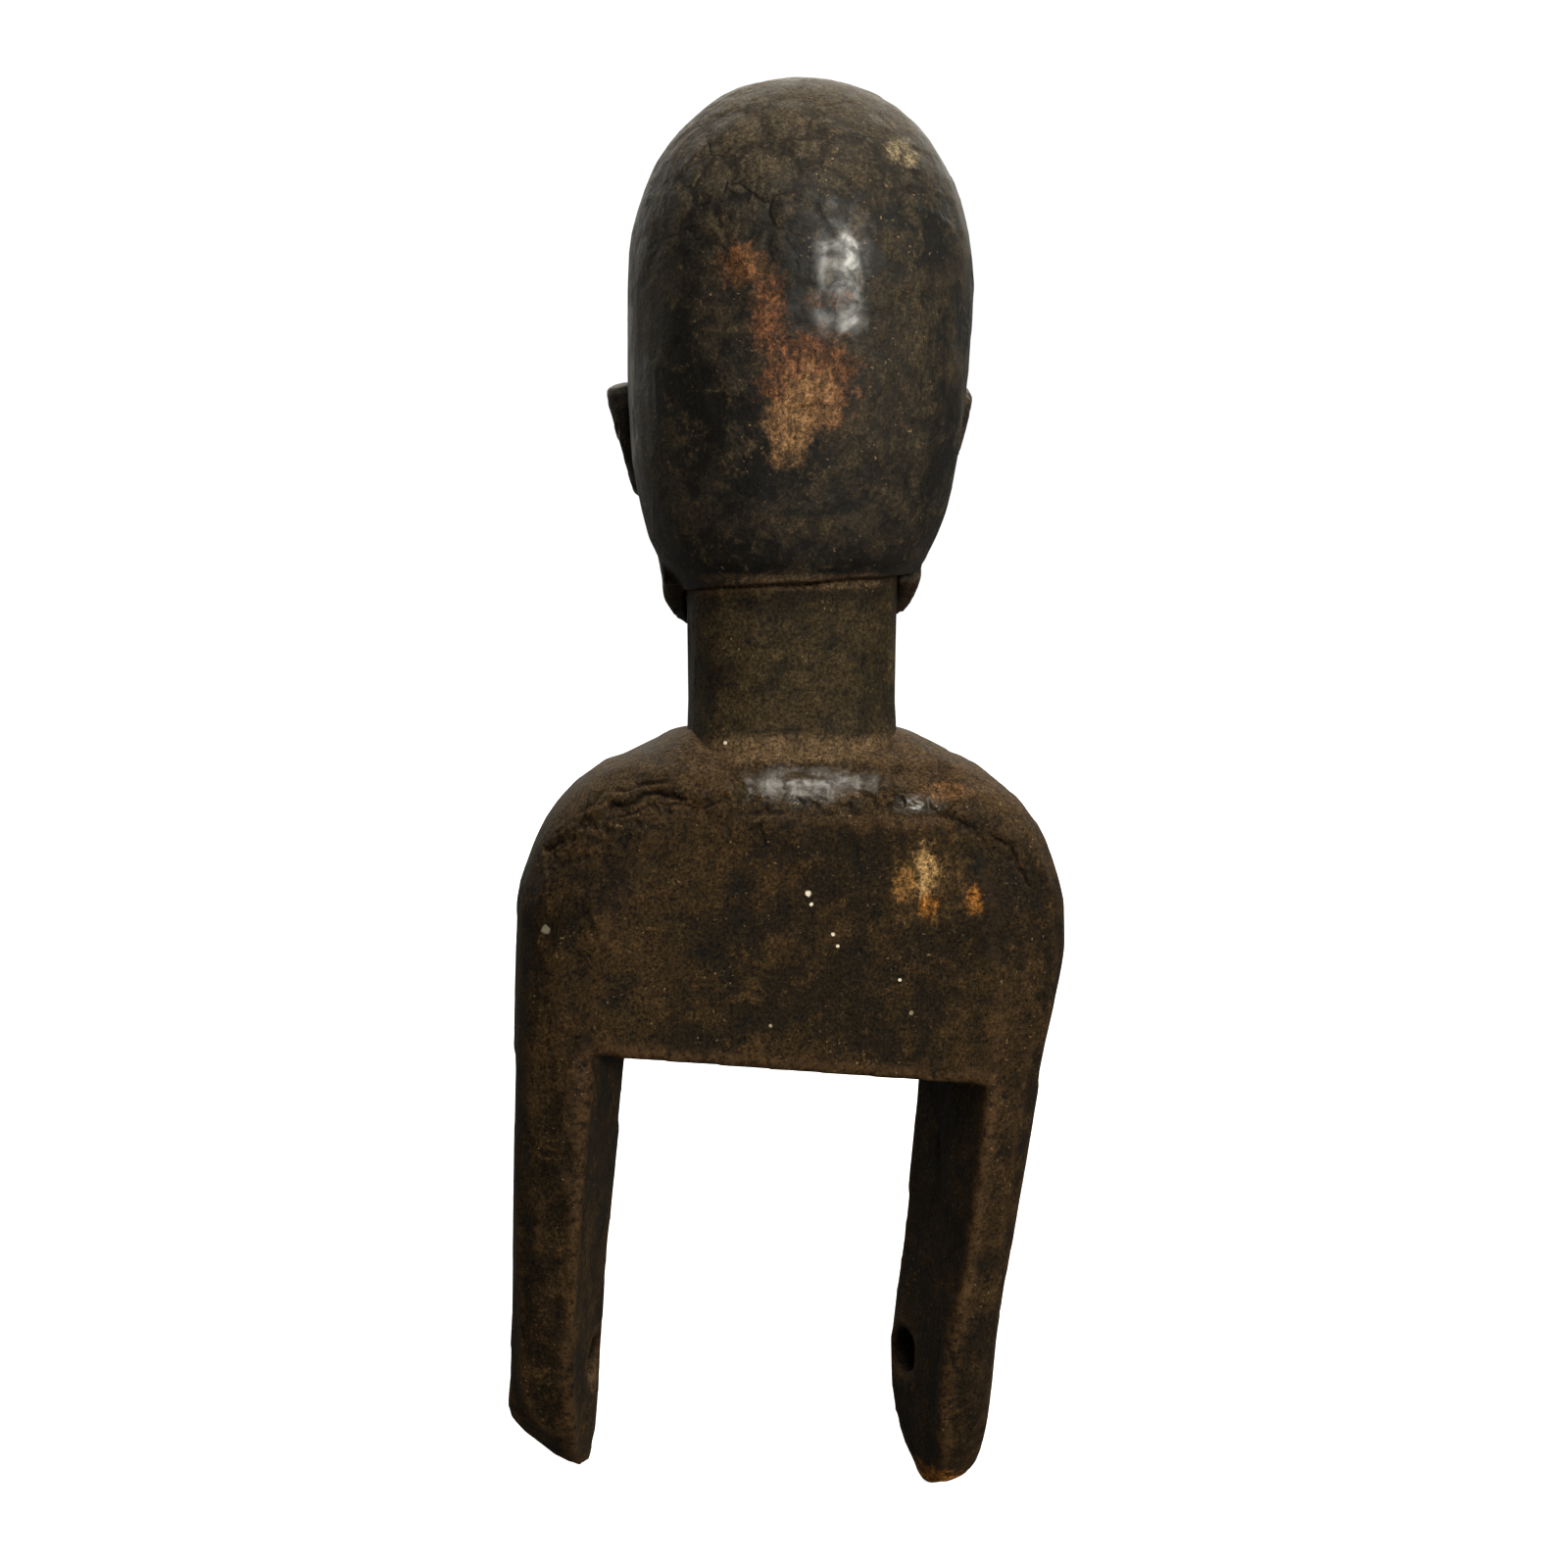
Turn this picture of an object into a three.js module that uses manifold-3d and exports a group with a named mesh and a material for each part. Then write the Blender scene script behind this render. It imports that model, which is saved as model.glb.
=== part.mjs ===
// A weaver's heddle pulley of the West African kind, carved from one block of dense wood: a head on a
// square-cut neck, a shoulder yoke, and two arms drilled for the axle of a spool. The axle and the spool
// are not fitted. Millimetres, +Z up. The face looks along -Y, so the figure's left side is at +X. Each
// region of the carving is a closed solid of its own, and neighbouring solids keep fitGap between them.

import * as THREE from "three";
import { mergeVertices } from "three/addons/utils/BufferGeometryUtils.js";
import Module from "manifold-3d";

const wasm = await Module();
wasm.setup();

const { clamp, degToRad, mapLinear } = THREE.MathUtils;

// ---------------------------------------------------------------- driving dimensions

const fitGap = 0.3; // between neighbouring solids

const arm = {
  length: 62.6, // from the right tip to the underside of the yoke
  leftRise: 5, // how much higher the left tip ends
  thickness: 14, // across the arm, in X, where it meets the yoke
  leftRidge: degToRad(14), // how far the two inner faces of the left arm turn back from their ridge
  rightRidge: degToRad(19), // the same on the right arm
};

const axle = {
  diameter: 6.2, // of the hole through each arm
  height: 20, // of the hole's middle over the right tip
  back: 3.2, // of the hole's middle behind the middle of the arm
};

const yoke = {
  leftWidth: 36.4, // from the middle line to the left shoulder
  rightWidth: 36.2, // from the middle line to the right shoulder
  depth: 38.4,
  height: 40.4, // from its underside to the foot of the neck
  footTilt: degToRad(5.2), // the underside falls towards the figure's right
  panelDepth: 0.8, // how far the flat panels are cut in, one across the back and one across the front
};

const neck = {
  width: 28.2,
  depth: 27,
  squareness: 2.7, // 2 is an ellipse, and more is squarer
  height: 22.2, // from the shoulders to the middle of the nape ledge
  ledgeTilt: degToRad(4), // the ledge rises towards the figure's right
};

const head = {
  width: 45,
  depth: 47.6,
  height: 64.8, // from the nape ledge to the crown
  crown: 26.4, // from the widest level to the crown
  chinDrop: 11, // of the chin under the nape ledge
  chinRise: 11, // height of the rounding under the jaw
  lean: 0.03, // sideways shift for each millimetre of height, to the figure's right
  hairStep: 0.8, // how far the cap of hair stands over the face
};

const ear = {
  height: 15,
  depth: 8.2,
  thickness: 5, // of what stands outside the head at its top
  root: 5, // how much further in the plate runs before the head cuts it off
  rim: 1.1, // rounding of its edge
  wall: 1.7, // of the rim round the hollow
  foot: 12.2, // of its lowest point over the nape ledge
  back: -9.5, // of its middle, so it sits in the front half of the head
  standOff: 2.7, // of its top outside the head's widest line
  tilt: degToRad(16), // how far its top leans out
  bowl: 1.5, // depth of the hollow
};

const face = {
  browHeight: 28,
  eyeHeight: 22.6,
  eyeSpacing: 16.6, // between the middles of the eyes
  eyeWidth: 9,
  noseFoot: 11.6,
  noseWidth: 6.4,
  noseStand: 4.2, // of the tip in front of the face
  mouthHeight: 4.6,
  mouthWidth: 10.4,
};

// Rounded swellings of the face. Each is an egg: its middle's height over the nape ledge, how far the
// middle is sunk behind the surface, and its full width, depth and height.
const lid = { sink: 0.5, depth: 4, height: 5 };
const upperLip = { rise: 1.1, lift: 0.1, depth: 4, height: 2.9 };
const lowerLip = { drop: 1.4, share: 0.86, depth: 4.2, height: 3.2 }; // share of the mouth's width
const chin = { z: -3.6, sink: 2.6, width: 12.8, depth: 6.8, height: 9.6 };
const cheek = { x: 9.6, z: 13, sink: 7, width: 18, depth: 15.6, height: 21 };

// Lines carved round: how thick each is.
const browThickness = 2.1;
const slitWidth = 0.84;
const lipLineWidth = 0.8;

// ---------------------------------------------------------------- solids

// A closed three.js geometry as a solid that can be joined and cut.
function solidOf(geometry) {
  const plain = geometry.clone();
  plain.deleteAttribute("normal");
  plain.deleteAttribute("uv");
  const merged = mergeVertices(plain, 1e-4);
  return new wasm.Manifold(
    new wasm.Mesh({
      numProp: 3,
      vertProperties: merged.attributes.position.array,
      triVerts: new Uint32Array(merged.index.array),
    }),
  );
}

// A solid as a three.js geometry.
function geometryOf(solid) {
  const mesh = solid.getMesh();
  const geometry = new THREE.BufferGeometry();
  geometry.setAttribute("position", new THREE.BufferAttribute(mesh.vertProperties, 3));
  geometry.setIndex(new THREE.BufferAttribute(mesh.triVerts, 1));
  geometry.computeVertexNormals();
  return geometry;
}

// The half of space on one side of a plane, as a large box that leaves the plane's own point at its edge.
function halfSpace(point, normal) {
  const size = 4 * (arm.length + yoke.height + neck.height + head.height);
  const box = new THREE.BoxGeometry(size, size, size).translate(0, 0, size / 2);
  const turn = new THREE.Quaternion().setFromUnitVectors(
    new THREE.Vector3(0, 0, 1),
    normal.clone().normalize(),
  );
  return solidOf(box.applyQuaternion(turn).translate(point.x, point.y, point.z));
}

// ---------------------------------------------------------------- carved forms

// The values of a table at one place, on a smooth curve that never overshoots. A row is [place, ...values].
function smooth(rows, place) {
  const last = rows.length - 1;
  if (place <= rows[0][0]) return rows[0].slice(1);
  if (place >= rows[last][0]) return rows[last].slice(1);
  const k = rows.findIndex((row) => row[0] > place) - 1;
  const span = rows[k + 1][0] - rows[k][0];
  const t = (place - rows[k][0]) / span;
  const secant = (i, column) =>
    (rows[i + 1][column] - rows[i][column]) / (rows[i + 1][0] - rows[i][0]);
  const slope = (i, column) => {
    if (i === 0) return secant(0, column);
    if (i === last) return secant(last - 1, column);
    const before = secant(i - 1, column);
    const after = secant(i, column);
    return before * after <= 0 ? 0 : (2 * before * after) / (before + after);
  };
  return rows[k].slice(1).map((_, j) => {
    const column = j + 1;
    const rise = (3 - 2 * t) * t * t;
    return (
      rows[k][column] * (1 - rise) +
      rows[k + 1][column] * rise +
      span * t * (1 - t) * ((1 - t) * slope(k, column) - t * slope(k + 1, column))
    );
  });
}

// How far a section's edge lies from its middle at one angle. A side is [the angle it faces, its distance],
// and a higher squareness gives tighter corners between the sides.
function reach(sides, squareness, angle) {
  let sum = 0;
  for (const [facing, distance] of sides) {
    const share = Math.cos(angle - facing) / distance;
    if (share > 0) sum += share ** squareness;
  }
  return sum ** (-1 / squareness);
}

const LEFT = 0;
const BACK = Math.PI / 2;
const RIGHT = Math.PI;
const FRONT = -Math.PI / 2;

// A standing blank, from z 0 to 1, whose points are moved out to the sections that sectionAt gives for each
// share of its height: {x, y, z, sides, squareness}.
function carve(blank, sectionAt) {
  const place = blank.attributes.position;
  for (let i = 0; i < place.count; i++) {
    const x = place.getX(i);
    const y = place.getY(i);
    const section = sectionAt(place.getZ(i));
    const angle = Math.atan2(y, x);
    const onAxis = Math.hypot(x, y) < 1e-6;
    const out = onAxis ? 0 : reach(section.sides, section.squareness, angle);
    place.setXYZ(
      i,
      section.x + out * Math.cos(angle),
      section.y + out * Math.sin(angle),
      section.z,
    );
  }
  return blank;
}

// A blank with flat ends, and one that closes to a point at both ends.
function log(around, along) {
  return new THREE.CylinderGeometry(1, 1, 1, around, along)
    .rotateX(Math.PI / 2)
    .translate(0, 0, 0.5);
}

function egg(around, along) {
  return new THREE.SphereGeometry(1, around, along)
    .rotateX(Math.PI / 2)
    .scale(1, 1, 0.5)
    .translate(0, 0, 0.5);
}

// A closed geometry through rows of points, from the lowest row to the highest. rowAt gives each row's
// points for its share of the height, in order against the clock seen from above.
function loft(along, rowAt) {
  const points = [];
  const faces = [];
  for (let i = 0; i <= along; i++) points.push(...rowAt(i / along));
  const around = points.length / (along + 1);
  for (let i = 0; i < along; i++) {
    for (let j = 0; j < around; j++) {
      const next = (j + 1) % around;
      const [a, b] = [i * around + j, i * around + next];
      faces.push(a, b, b + around, a, b + around, a + around);
    }
  }
  const top = along * around;
  for (let j = 1; j < around - 1; j++) faces.push(0, j + 1, j, top, top + j, top + j + 1);
  const geometry = new THREE.BufferGeometry();
  geometry.setAttribute("position", new THREE.Float32BufferAttribute(points.flat(), 3));
  geometry.setIndex(faces);
  return geometry;
}

// ---------------------------------------------------------------- the block of yoke and arms

const yokeTop = arm.length + yoke.height;
const panelY = yoke.depth / 2 - yoke.panelDepth;
const armSquareness = 5.6;
const neckSquareness = 3.4; // of the shoulders where they meet the neck

// The outer outline down each side. An arm's row is [share of its length from the tip, outer edge as a
// share of the yoke's width on that side, thickness of the arm as a share of arm.thickness].
const leftArm = [
  [0, 0.83, 0.2],
  [0.042, 0.953, 0.486],
  [0.085, 1.03, 0.74],
  [0.13, 1.056, 0.83],
  [0.22, 1.055, 0.85],
  [0.44, 1.036, 0.864],
  [0.66, 1.028, 0.93],
  [1, 1.012, 1.03],
];
const rightArm = [
  [0, 0.58, 0.2],
  [0.035, 0.66, 0.45],
  [0.078, 0.7, 0.64],
  [0.163, 0.724, 0.8],
  [0.248, 0.742, 0.9],
  [0.374, 0.756, 0.92],
  [0.543, 0.794, 0.92],
  [0.712, 0.834, 0.96],
  [1, 0.91, 1.05],
];

// [share of the arm's length from the tip, its depth as a share of the yoke's]
const armDepth = [
  [0, 0.16],
  [0.035, 0.4],
  [0.085, 0.55],
  [0.15, 0.66],
  [0.25, 0.76],
  [0.45, 0.87],
  [0.65, 0.94],
  [0.9, 1],
  [1, 1],
];

// [share of the yoke's height, how far the width has opened from the neck to the shoulder]
const leftShoulder = [
  [0, 1.03],
  [0.35, 1.01],
  [0.52, 1],
  [0.65, 0.93],
  [0.74, 0.86],
  [0.84, 0.73],
  [0.92, 0.56],
  [0.97, 0.34],
  [1, 0],
];
const rightShoulder = [
  [0, 0.85],
  [0.2, 0.93],
  [0.37, 0.98],
  [0.5, 0.98],
  [0.62, 0.93],
  [0.72, 0.86],
  [0.82, 0.74],
  [0.9, 0.59],
  [0.96, 0.38],
  [1, 0],
];

// [share of the yoke's height, how far the depth has opened from the neck to the shoulder]
const shoulderDepth = [
  [0, 1],
  [0.62, 1],
  [0.76, 0.95],
  [0.86, 0.8],
  [0.93, 0.58],
  [0.98, 0.26],
  [1, 0.04],
];

// The block's half width on one side at one height.
function blockHalf(z, armTable, armFoot, shoulderTable, width) {
  if (z < arm.length) {
    return width * smooth(armTable, (z - armFoot) / (arm.length - armFoot))[0];
  }
  const [open] = smooth(shoulderTable, (z - arm.length) / yoke.height);
  return neck.width / 2 + (width - neck.width / 2) * open;
}

const leftHalf = (z) => blockHalf(z, leftArm, arm.leftRise, leftShoulder, yoke.leftWidth);
const rightHalf = (z) => blockHalf(z, rightArm, 0, rightShoulder, yoke.rightWidth);

// What is cut away outside the flat panel on one side: 1 is the back and -1 the front.
function beyondPanel(side) {
  return halfSpace(new THREE.Vector3(0, side * panelY, 0), new THREE.Vector3(0, side, 0));
}

// The outside of yoke and arms in one. Its depth closes towards a tip at the given height.
function blockForm(tip) {
  const form = carve(log(60, 42), (share) => {
    const z = share * yokeTop;
    const [deep] = smooth(armDepth, (z - tip) / (arm.length - tip));
    const [open] = smooth(shoulderDepth, (z - arm.length) / yoke.height);
    const shoulder = neck.depth / 2 + (yoke.depth / 2 - neck.depth / 2) * open;
    const half = z < arm.length ? (deep * yoke.depth) / 2 : shoulder;
    return {
      x: 0,
      y: 0,
      z,
      sides: [
        [LEFT, leftHalf(z)],
        [RIGHT, rightHalf(z)],
        [BACK, half],
        [FRONT, half],
      ],
      squareness: mapLinear(Math.max(z, arm.length), arm.length, yokeTop, armSquareness, neckSquareness),
    };
  });
  return solidOf(form).subtract(beyondPanel(1)).subtract(beyondPanel(-1));
}

// The underside of the yoke is a tilted plane.
const yokeFoot = new THREE.Vector3(0, 0, arm.length);
const footUp = new THREE.Vector3(-Math.sin(yoke.footTilt), 0, Math.cos(yoke.footTilt));

function aboveFoot(lift) {
  return halfSpace(yokeFoot.clone().addScaledVector(footUp, lift), footUp);
}

const yokeSolid = blockForm(0).intersect(aboveFoot(fitGap / 2));

// ---------------------------------------------------------------- arms

// How far one arm's inner ridge lies from the middle line at one height.
function ridge(table, foot, outerAt, z) {
  const [, thick] = smooth(table, (z - foot) / (arm.length - foot));
  return outerAt(z) - thick * arm.thickness;
}

// The gap between the arms. Each side is a pair of faces that turn back from the arm's ridge.
function forkGap() {
  const far = yoke.depth;
  const leftBack = far * Math.tan(arm.leftRidge);
  const rightBack = far * Math.tan(arm.rightRidge);
  const top = arm.length + 2 * yoke.rightWidth * Math.tan(yoke.footTilt);
  return solidOf(
    loft(48, (share) => {
      const z = share * (top + fitGap) - fitGap;
      const left = ridge(leftArm, arm.leftRise, leftHalf, Math.min(z, arm.length));
      const right = ridge(rightArm, 0, rightHalf, Math.min(z, arm.length));
      return [
        [left, 0, z],
        [left + leftBack, far, z],
        [-right - rightBack, far, z],
        [-right, 0, z],
        [-right - rightBack, -far, z],
        [left + leftBack, -far, z],
      ];
    }),
  );
}

const axleHole = solidOf(
  new THREE.CylinderGeometry(axle.diameter / 2, axle.diameter / 2, 4 * yoke.rightWidth, 24)
    .rotateZ(Math.PI / 2)
    .translate(0, axle.back, axle.height),
);

const cutAway = aboveFoot(-fitGap / 2).add(forkGap()).add(axleHole);
const toLeft = halfSpace(new THREE.Vector3(0, 0, 0), new THREE.Vector3(1, 0, 0));
const overLeftTip = halfSpace(new THREE.Vector3(0, 0, arm.leftRise), new THREE.Vector3(0, 0, 1));
const leftArmSolid = blockForm(arm.leftRise)
  .intersect(toLeft)
  .intersect(overLeftTip)
  .subtract(cutAway);
const rightArmSolid = blockForm(0).subtract(toLeft).subtract(cutAway);

// ---------------------------------------------------------------- neck

// The ledge at the nape, where the neck meets the head, is a plane through this point.
const ledge = new THREE.Vector3(0, 0, yokeTop + neck.height);
const ledgeUp = new THREE.Vector3(Math.sin(neck.ledgeTilt), 0, Math.cos(neck.ledgeTilt));

function aboveLedge(lift) {
  return halfSpace(ledge.clone().addScaledVector(ledgeUp, lift), ledgeUp);
}

// The neck from its foot to well above the ledge, grown by a clearance on all sides.
function neckForm(grow) {
  const over = neck.width / 2;
  const flare = [
    [0, 1],
    [0.12, 0.975],
    [1, 1.01],
  ];
  return carve(log(48, 6), (share) => {
    const [wide] = smooth(flare, share);
    return {
      x: 0,
      y: 0,
      z: yokeTop + fitGap - grow + (neck.height + over) * share,
      sides: [
        [LEFT, (wide * neck.width) / 2 + grow],
        [RIGHT, (wide * neck.width) / 2 + grow],
        [BACK, (wide * neck.depth) / 2 + grow],
        [FRONT, (wide * neck.depth) / 2 + grow],
      ],
      squareness: neck.squareness,
    };
  });
}

const neckSolid = solidOf(neckForm(0)).subtract(aboveLedge(-fitGap / 2));

// ---------------------------------------------------------------- head

const headFoot = ledge.z - head.chinDrop;
const headTop = ledge.z + head.height;
const widest = headTop - head.crown;

// [height over the ledge as a share of the head's height, half width of the skull, half width of the face,
// depth behind the middle, depth in front of it]
const headProfile = [
  [-0.16, 0.66, 0.79, 0.3, 0.8],
  [0, 0.66, 0.79, 0.67, 0.84],
  [0.03, 0.75, 0.805, 0.74, 0.86],
  [0.1, 0.85, 0.86, 0.82, 0.88],
  [0.18, 0.915, 0.915, 0.88, 0.9],
  [0.26, 0.955, 0.955, 0.93, 0.92],
  [0.34, 0.975, 0.975, 0.965, 0.94],
  [0.42, 0.99, 0.99, 0.99, 0.97],
  [0.61, 1, 1, 1, 1],
  [1, 1, 1, 1, 1],
];

// The shrinking of a section towards a rounded end, from 1 where the rounding starts to 0 at the end.
const roundness = 2.1; // 2 is an ellipse, and more is squarer
const headSquareness = 2.25;
const rounding = (into) => (1 - clamp(into, 0, 1) ** roundness) ** (1 / roundness);

// The head leans a little as it rises, up to its widest level.
function headX(z) {
  return -head.lean * (Math.min(z, widest) - ledge.z);
}

function headSection(z, isSkull, grow) {
  const [skull, jaw, behind, before] = smooth(headProfile, (z - ledge.z) / head.height);
  const wide = isSkull ? skull : jaw;
  const close =
    rounding((z - widest) / head.crown) *
    rounding((headFoot + head.chinRise - z) / head.chinRise);
  const most = (half) => Math.max(close * half + grow * Math.min(1, 4 * close), 1e-3);
  return {
    x: headX(z),
    y: 0,
    z,
    sides: [
      [LEFT, most((wide * head.width) / 2)],
      [RIGHT, most((wide * head.width) / 2)],
      [BACK, most((behind * head.depth) / 2)],
      [FRONT, most((before * head.depth) / 2)],
    ],
    squareness: headSquareness,
  };
}

// The whole head as one egg with the width of the skull or of the face, grown or shrunk all round.
function headForm(isSkull, grow) {
  const section = (share) => headSection(headFoot + share * (headTop - headFoot), isSkull, grow);
  return solidOf(carve(egg(44, 32), section));
}

// The face lies in front of two planes that meet at the top of the ears: one runs up over the forehead, and
// one down behind the ears to the nape.
const templeZ = ledge.z + ear.foot + ear.height;
const templeY = ear.back + ear.depth / 2;
const foreheadSlope = 0.86;
const napeSlope = 0.3;

function faceWedge(shift) {
  const corner = new THREE.Vector3(0, templeY - shift, templeZ);
  const upper = halfSpace(corner, new THREE.Vector3(0, -1, -foreheadSlope));
  const lower = halfSpace(corner, new THREE.Vector3(0, -1, -napeSlope));
  return upper.intersect(lower);
}

// The underside of the jaw rises from the chin to the nape ledge.
const jawSlope = 0.6;
const jawBack = templeY + napeSlope * (templeZ - ledge.z);
const underJaw = halfSpace(
  new THREE.Vector3(0, jawBack, ledge.z),
  new THREE.Vector3(0, jawSlope, -1),
);
const overLedge = aboveLedge(fitGap / 2);
const neckRoom = solidOf(neckForm(fitGap)).subtract(overLedge);

const skullSolid = headForm(true, 0).subtract(faceWedge(-fitGap)).intersect(overLedge);

// How far forward the face's surface is at one place: x from the head's middle line, z over the ledge.
function faceAt(x, z) {
  const section = headSection(ledge.z + z, false, -head.hairStep);
  const half = section.sides[0][1];
  const front = section.sides[3][1];
  const p = section.squareness;
  return -front * (1 - Math.min(0.98, Math.abs(x) / half) ** p) ** (1 / p);
}

// A point on the face, sunk or lifted along Y. Heights are over the ledge.
function onFace(x, z, lift = 0) {
  return new THREE.Vector3(headX(ledge.z + z) + x, faceAt(x, z) - lift, ledge.z + z);
}

// An egg of the given full sizes round a point.
function swelling(point, width, depth, height) {
  const geometry = new THREE.SphereGeometry(1, 16, 12).scale(width / 2, depth / 2, height / 2);
  return solidOf(geometry.translate(point.x, point.y, point.z));
}

// A round rib along a curve over the face.
function rib(points, thickness) {
  const path = new THREE.CatmullRomCurve3(points);
  const round = new THREE.Shape().absarc(0, 0, thickness / 2, 0, 2 * Math.PI);
  const settings = { steps: 10, curveSegments: 8, bevelEnabled: false, extrudePath: path };
  return solidOf(new THREE.ExtrudeGeometry(round, settings));
}

// The arch of a brow, from the root of the nose outwards: [x, height over the brow line, lift off the face]
const browArch = [
  [1.2, -3.4, 0.5],
  [4, -0.6, 0.1],
  [8.4, 0.9, -0.1],
  [13, -0.6, -0.4],
  [16.4, -3.4, -1.1],
];

function brow(side) {
  const points = browArch.map(([x, rise, lift]) => onFace(side * x, face.browHeight + rise, lift));
  return rib(points, browThickness);
}

// Five places across a carved line, from one end at -1 to the other at 1.
const across = [-1, -0.5, 0, 0.5, 1];

// A lowered lid over a slit of an eye.
function eye(side) {
  const middle = onFace((side * face.eyeSpacing) / 2, face.eyeHeight, -lid.sink);
  return swelling(middle, face.eyeWidth, lid.depth, lid.height);
}

// The slit hangs under the middle of the lid and curves up to the lid's corners.
function eyeSlit(side) {
  const corner = 0.5;
  const hang = 0.9;
  const [liftMiddle, liftFall] = [1.35, 1.1];
  const half = face.eyeWidth / 2 - corner;
  const x = (side * face.eyeSpacing) / 2;
  const points = across.map((at) =>
    onFace(x + at * half, face.eyeHeight - hang * (1 - at * at), liftMiddle - liftFall * at * at),
  );
  return rib(points, slitWidth);
}

// [share of the nose's height from its foot, its width as a share of the nose's, how far it stands as a
// share]
const noseProfile = [
  [0, 0.32, 0.3],
  [0.08, 0.9, 0.86],
  [0.16, 1, 1],
  [0.32, 0.72, 0.9],
  [0.7, 0.5, 0.56],
  [1, 0.42, 0.3],
];
const noseSink = 1; // how far the nose's own middle lies behind the surface

function nose() {
  const foot = face.noseFoot;
  const root = face.browHeight - noseSink;
  const form = carve(log(16, 12), (share) => {
    const z = foot + share * (root - foot);
    const [wide, stand] = smooth(noseProfile, share);
    const base = onFace(0, z);
    return {
      x: base.x,
      y: base.y + noseSink,
      z: base.z,
      sides: [
        [LEFT, (wide * face.noseWidth) / 2],
        [RIGHT, (wide * face.noseWidth) / 2],
        [FRONT, noseSink + stand * face.noseStand],
        [BACK, noseSink],
      ],
      squareness: roundness,
    };
  });
  return solidOf(form);
}

// Two closed lips with the line between them, which rises a little at its corners.
function mouth() {
  const width = face.mouthWidth;
  const z = face.mouthHeight;
  const overPoint = onFace(0, z + upperLip.rise, upperLip.lift);
  const underPoint = onFace(0, z - lowerLip.drop);
  const upper = swelling(overPoint, width, upperLip.depth, upperLip.height);
  const lower = swelling(underPoint, lowerLip.share * width, lowerLip.depth, lowerLip.height);
  const half = 0.47 * width;
  const [sag, smile] = [0.15, 0.25];
  const [liftMiddle, liftFall] = [2, 1.5];
  const line = across.map((at) =>
    onFace(at * half, z - sag + smile * at * at, liftMiddle - liftFall * at * at),
  );
  return upper.add(lower).subtract(rib(line, lipLineWidth));
}

const chinSolid = swelling(onFace(0, chin.z, -chin.sink), chin.width, chin.depth, chin.height);

// Both cheeks, grown by a clearance on all sides.
function cheeks(grow) {
  const both = [-1, 1].map((side) => {
    const middle = onFace(side * cheek.x, cheek.z, -cheek.sink);
    return swelling(middle, cheek.width + 2 * grow, cheek.depth + 2 * grow, cheek.height + 2 * grow);
  });
  return both[0].add(both[1]);
}

const faceSolid = headForm(false, -head.hairStep)
  .add(cheeks(0))
  .add(brow(1))
  .add(brow(-1))
  .add(eye(1))
  .add(eye(-1))
  .subtract(eyeSlit(1))
  .subtract(eyeSlit(-1))
  .add(nose())
  .add(mouth())
  .add(chinSolid)
  .intersect(faceWedge(0))
  .subtract(underJaw)
  .subtract(neckRoom);

// ---------------------------------------------------------------- ears

// The ears are cut to the head with a clearance.
const headRoom = headForm(true, fitGap)
  .subtract(faceWedge(0))
  .add(headForm(false, fitGap - head.hairStep))
  .add(cheeks(fitGap));

// An upright oval plate, hollowed on its outer side, that leans out at its top.
function earSolid(side) {
  const plateDepth = ear.thickness + ear.root;
  const outline = new THREE.Shape().absellipse(0, 0, ear.depth / 2, ear.height / 2, 0, 2 * Math.PI);
  const plate = new THREE.ExtrudeGeometry(outline, {
    depth: plateDepth - 2 * ear.rim,
    bevelEnabled: true,
    bevelThickness: ear.rim,
    bevelSize: ear.rim,
    bevelOffset: -ear.rim,
    bevelSegments: 3,
    curveSegments: 10,
    steps: 1,
  });
  const bowl = new THREE.SphereGeometry(1, 16, 10)
    .scale(ear.depth / 2 - ear.wall, ear.height / 2 - ear.wall, ear.bowl)
    .translate(0, 0, plateDepth - ear.rim);
  const shaped = solidOf(plate).subtract(solidOf(bowl));
  // The plate is drawn flat: its height is turned up to Z, its outer side to X, and its top is leaned out.
  const stand = new THREE.Matrix4()
    .makeRotationZ(Math.PI / 2)
    .multiply(new THREE.Matrix4().makeRotationX(Math.PI / 2));
  const lean = new THREE.Matrix4().makeRotationY(ear.tilt);
  const z = ear.foot + ear.height / 2;
  const top = head.width / 2 + ear.standOff;
  const middle = top - (ear.height / 2) * Math.sin(ear.tilt) - plateDepth + ear.rim;
  const geometry = geometryOf(shaped)
    .applyMatrix4(stand)
    .applyMatrix4(lean)
    .translate(middle, ear.back, 0);
  if (side < 0) mirrorX(geometry);
  geometry.translate(headX(ledge.z + z), 0, ledge.z + z);
  return solidOf(geometry).subtract(headRoom);
}

// A geometry mirrored left to right, with its faces still pointing out.
function mirrorX(geometry) {
  geometry.scale(-1, 1, 1);
  const index = geometry.index;
  for (let i = 0; i < index.count; i += 3) {
    const swapped = index.getX(i);
    index.setX(i, index.getX(i + 1));
    index.setX(i + 1, swapped);
  }
}

// ---------------------------------------------------------------- the carving

const crusted = new THREE.MeshStandardMaterial({ color: 0x2b241d, roughness: 0.62, metalness: 0 });
const handled = new THREE.MeshStandardMaterial({ color: 0x30271f, roughness: 0.55, metalness: 0 });
const rubbed = new THREE.MeshStandardMaterial({ color: 0x3a2f25, roughness: 0.7, metalness: 0 });

const carving = new THREE.Group();

function region(name, solid, material) {
  const mesh = new THREE.Mesh(geometryOf(solid), material);
  mesh.name = name;
  carving.add(mesh);
}

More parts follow.
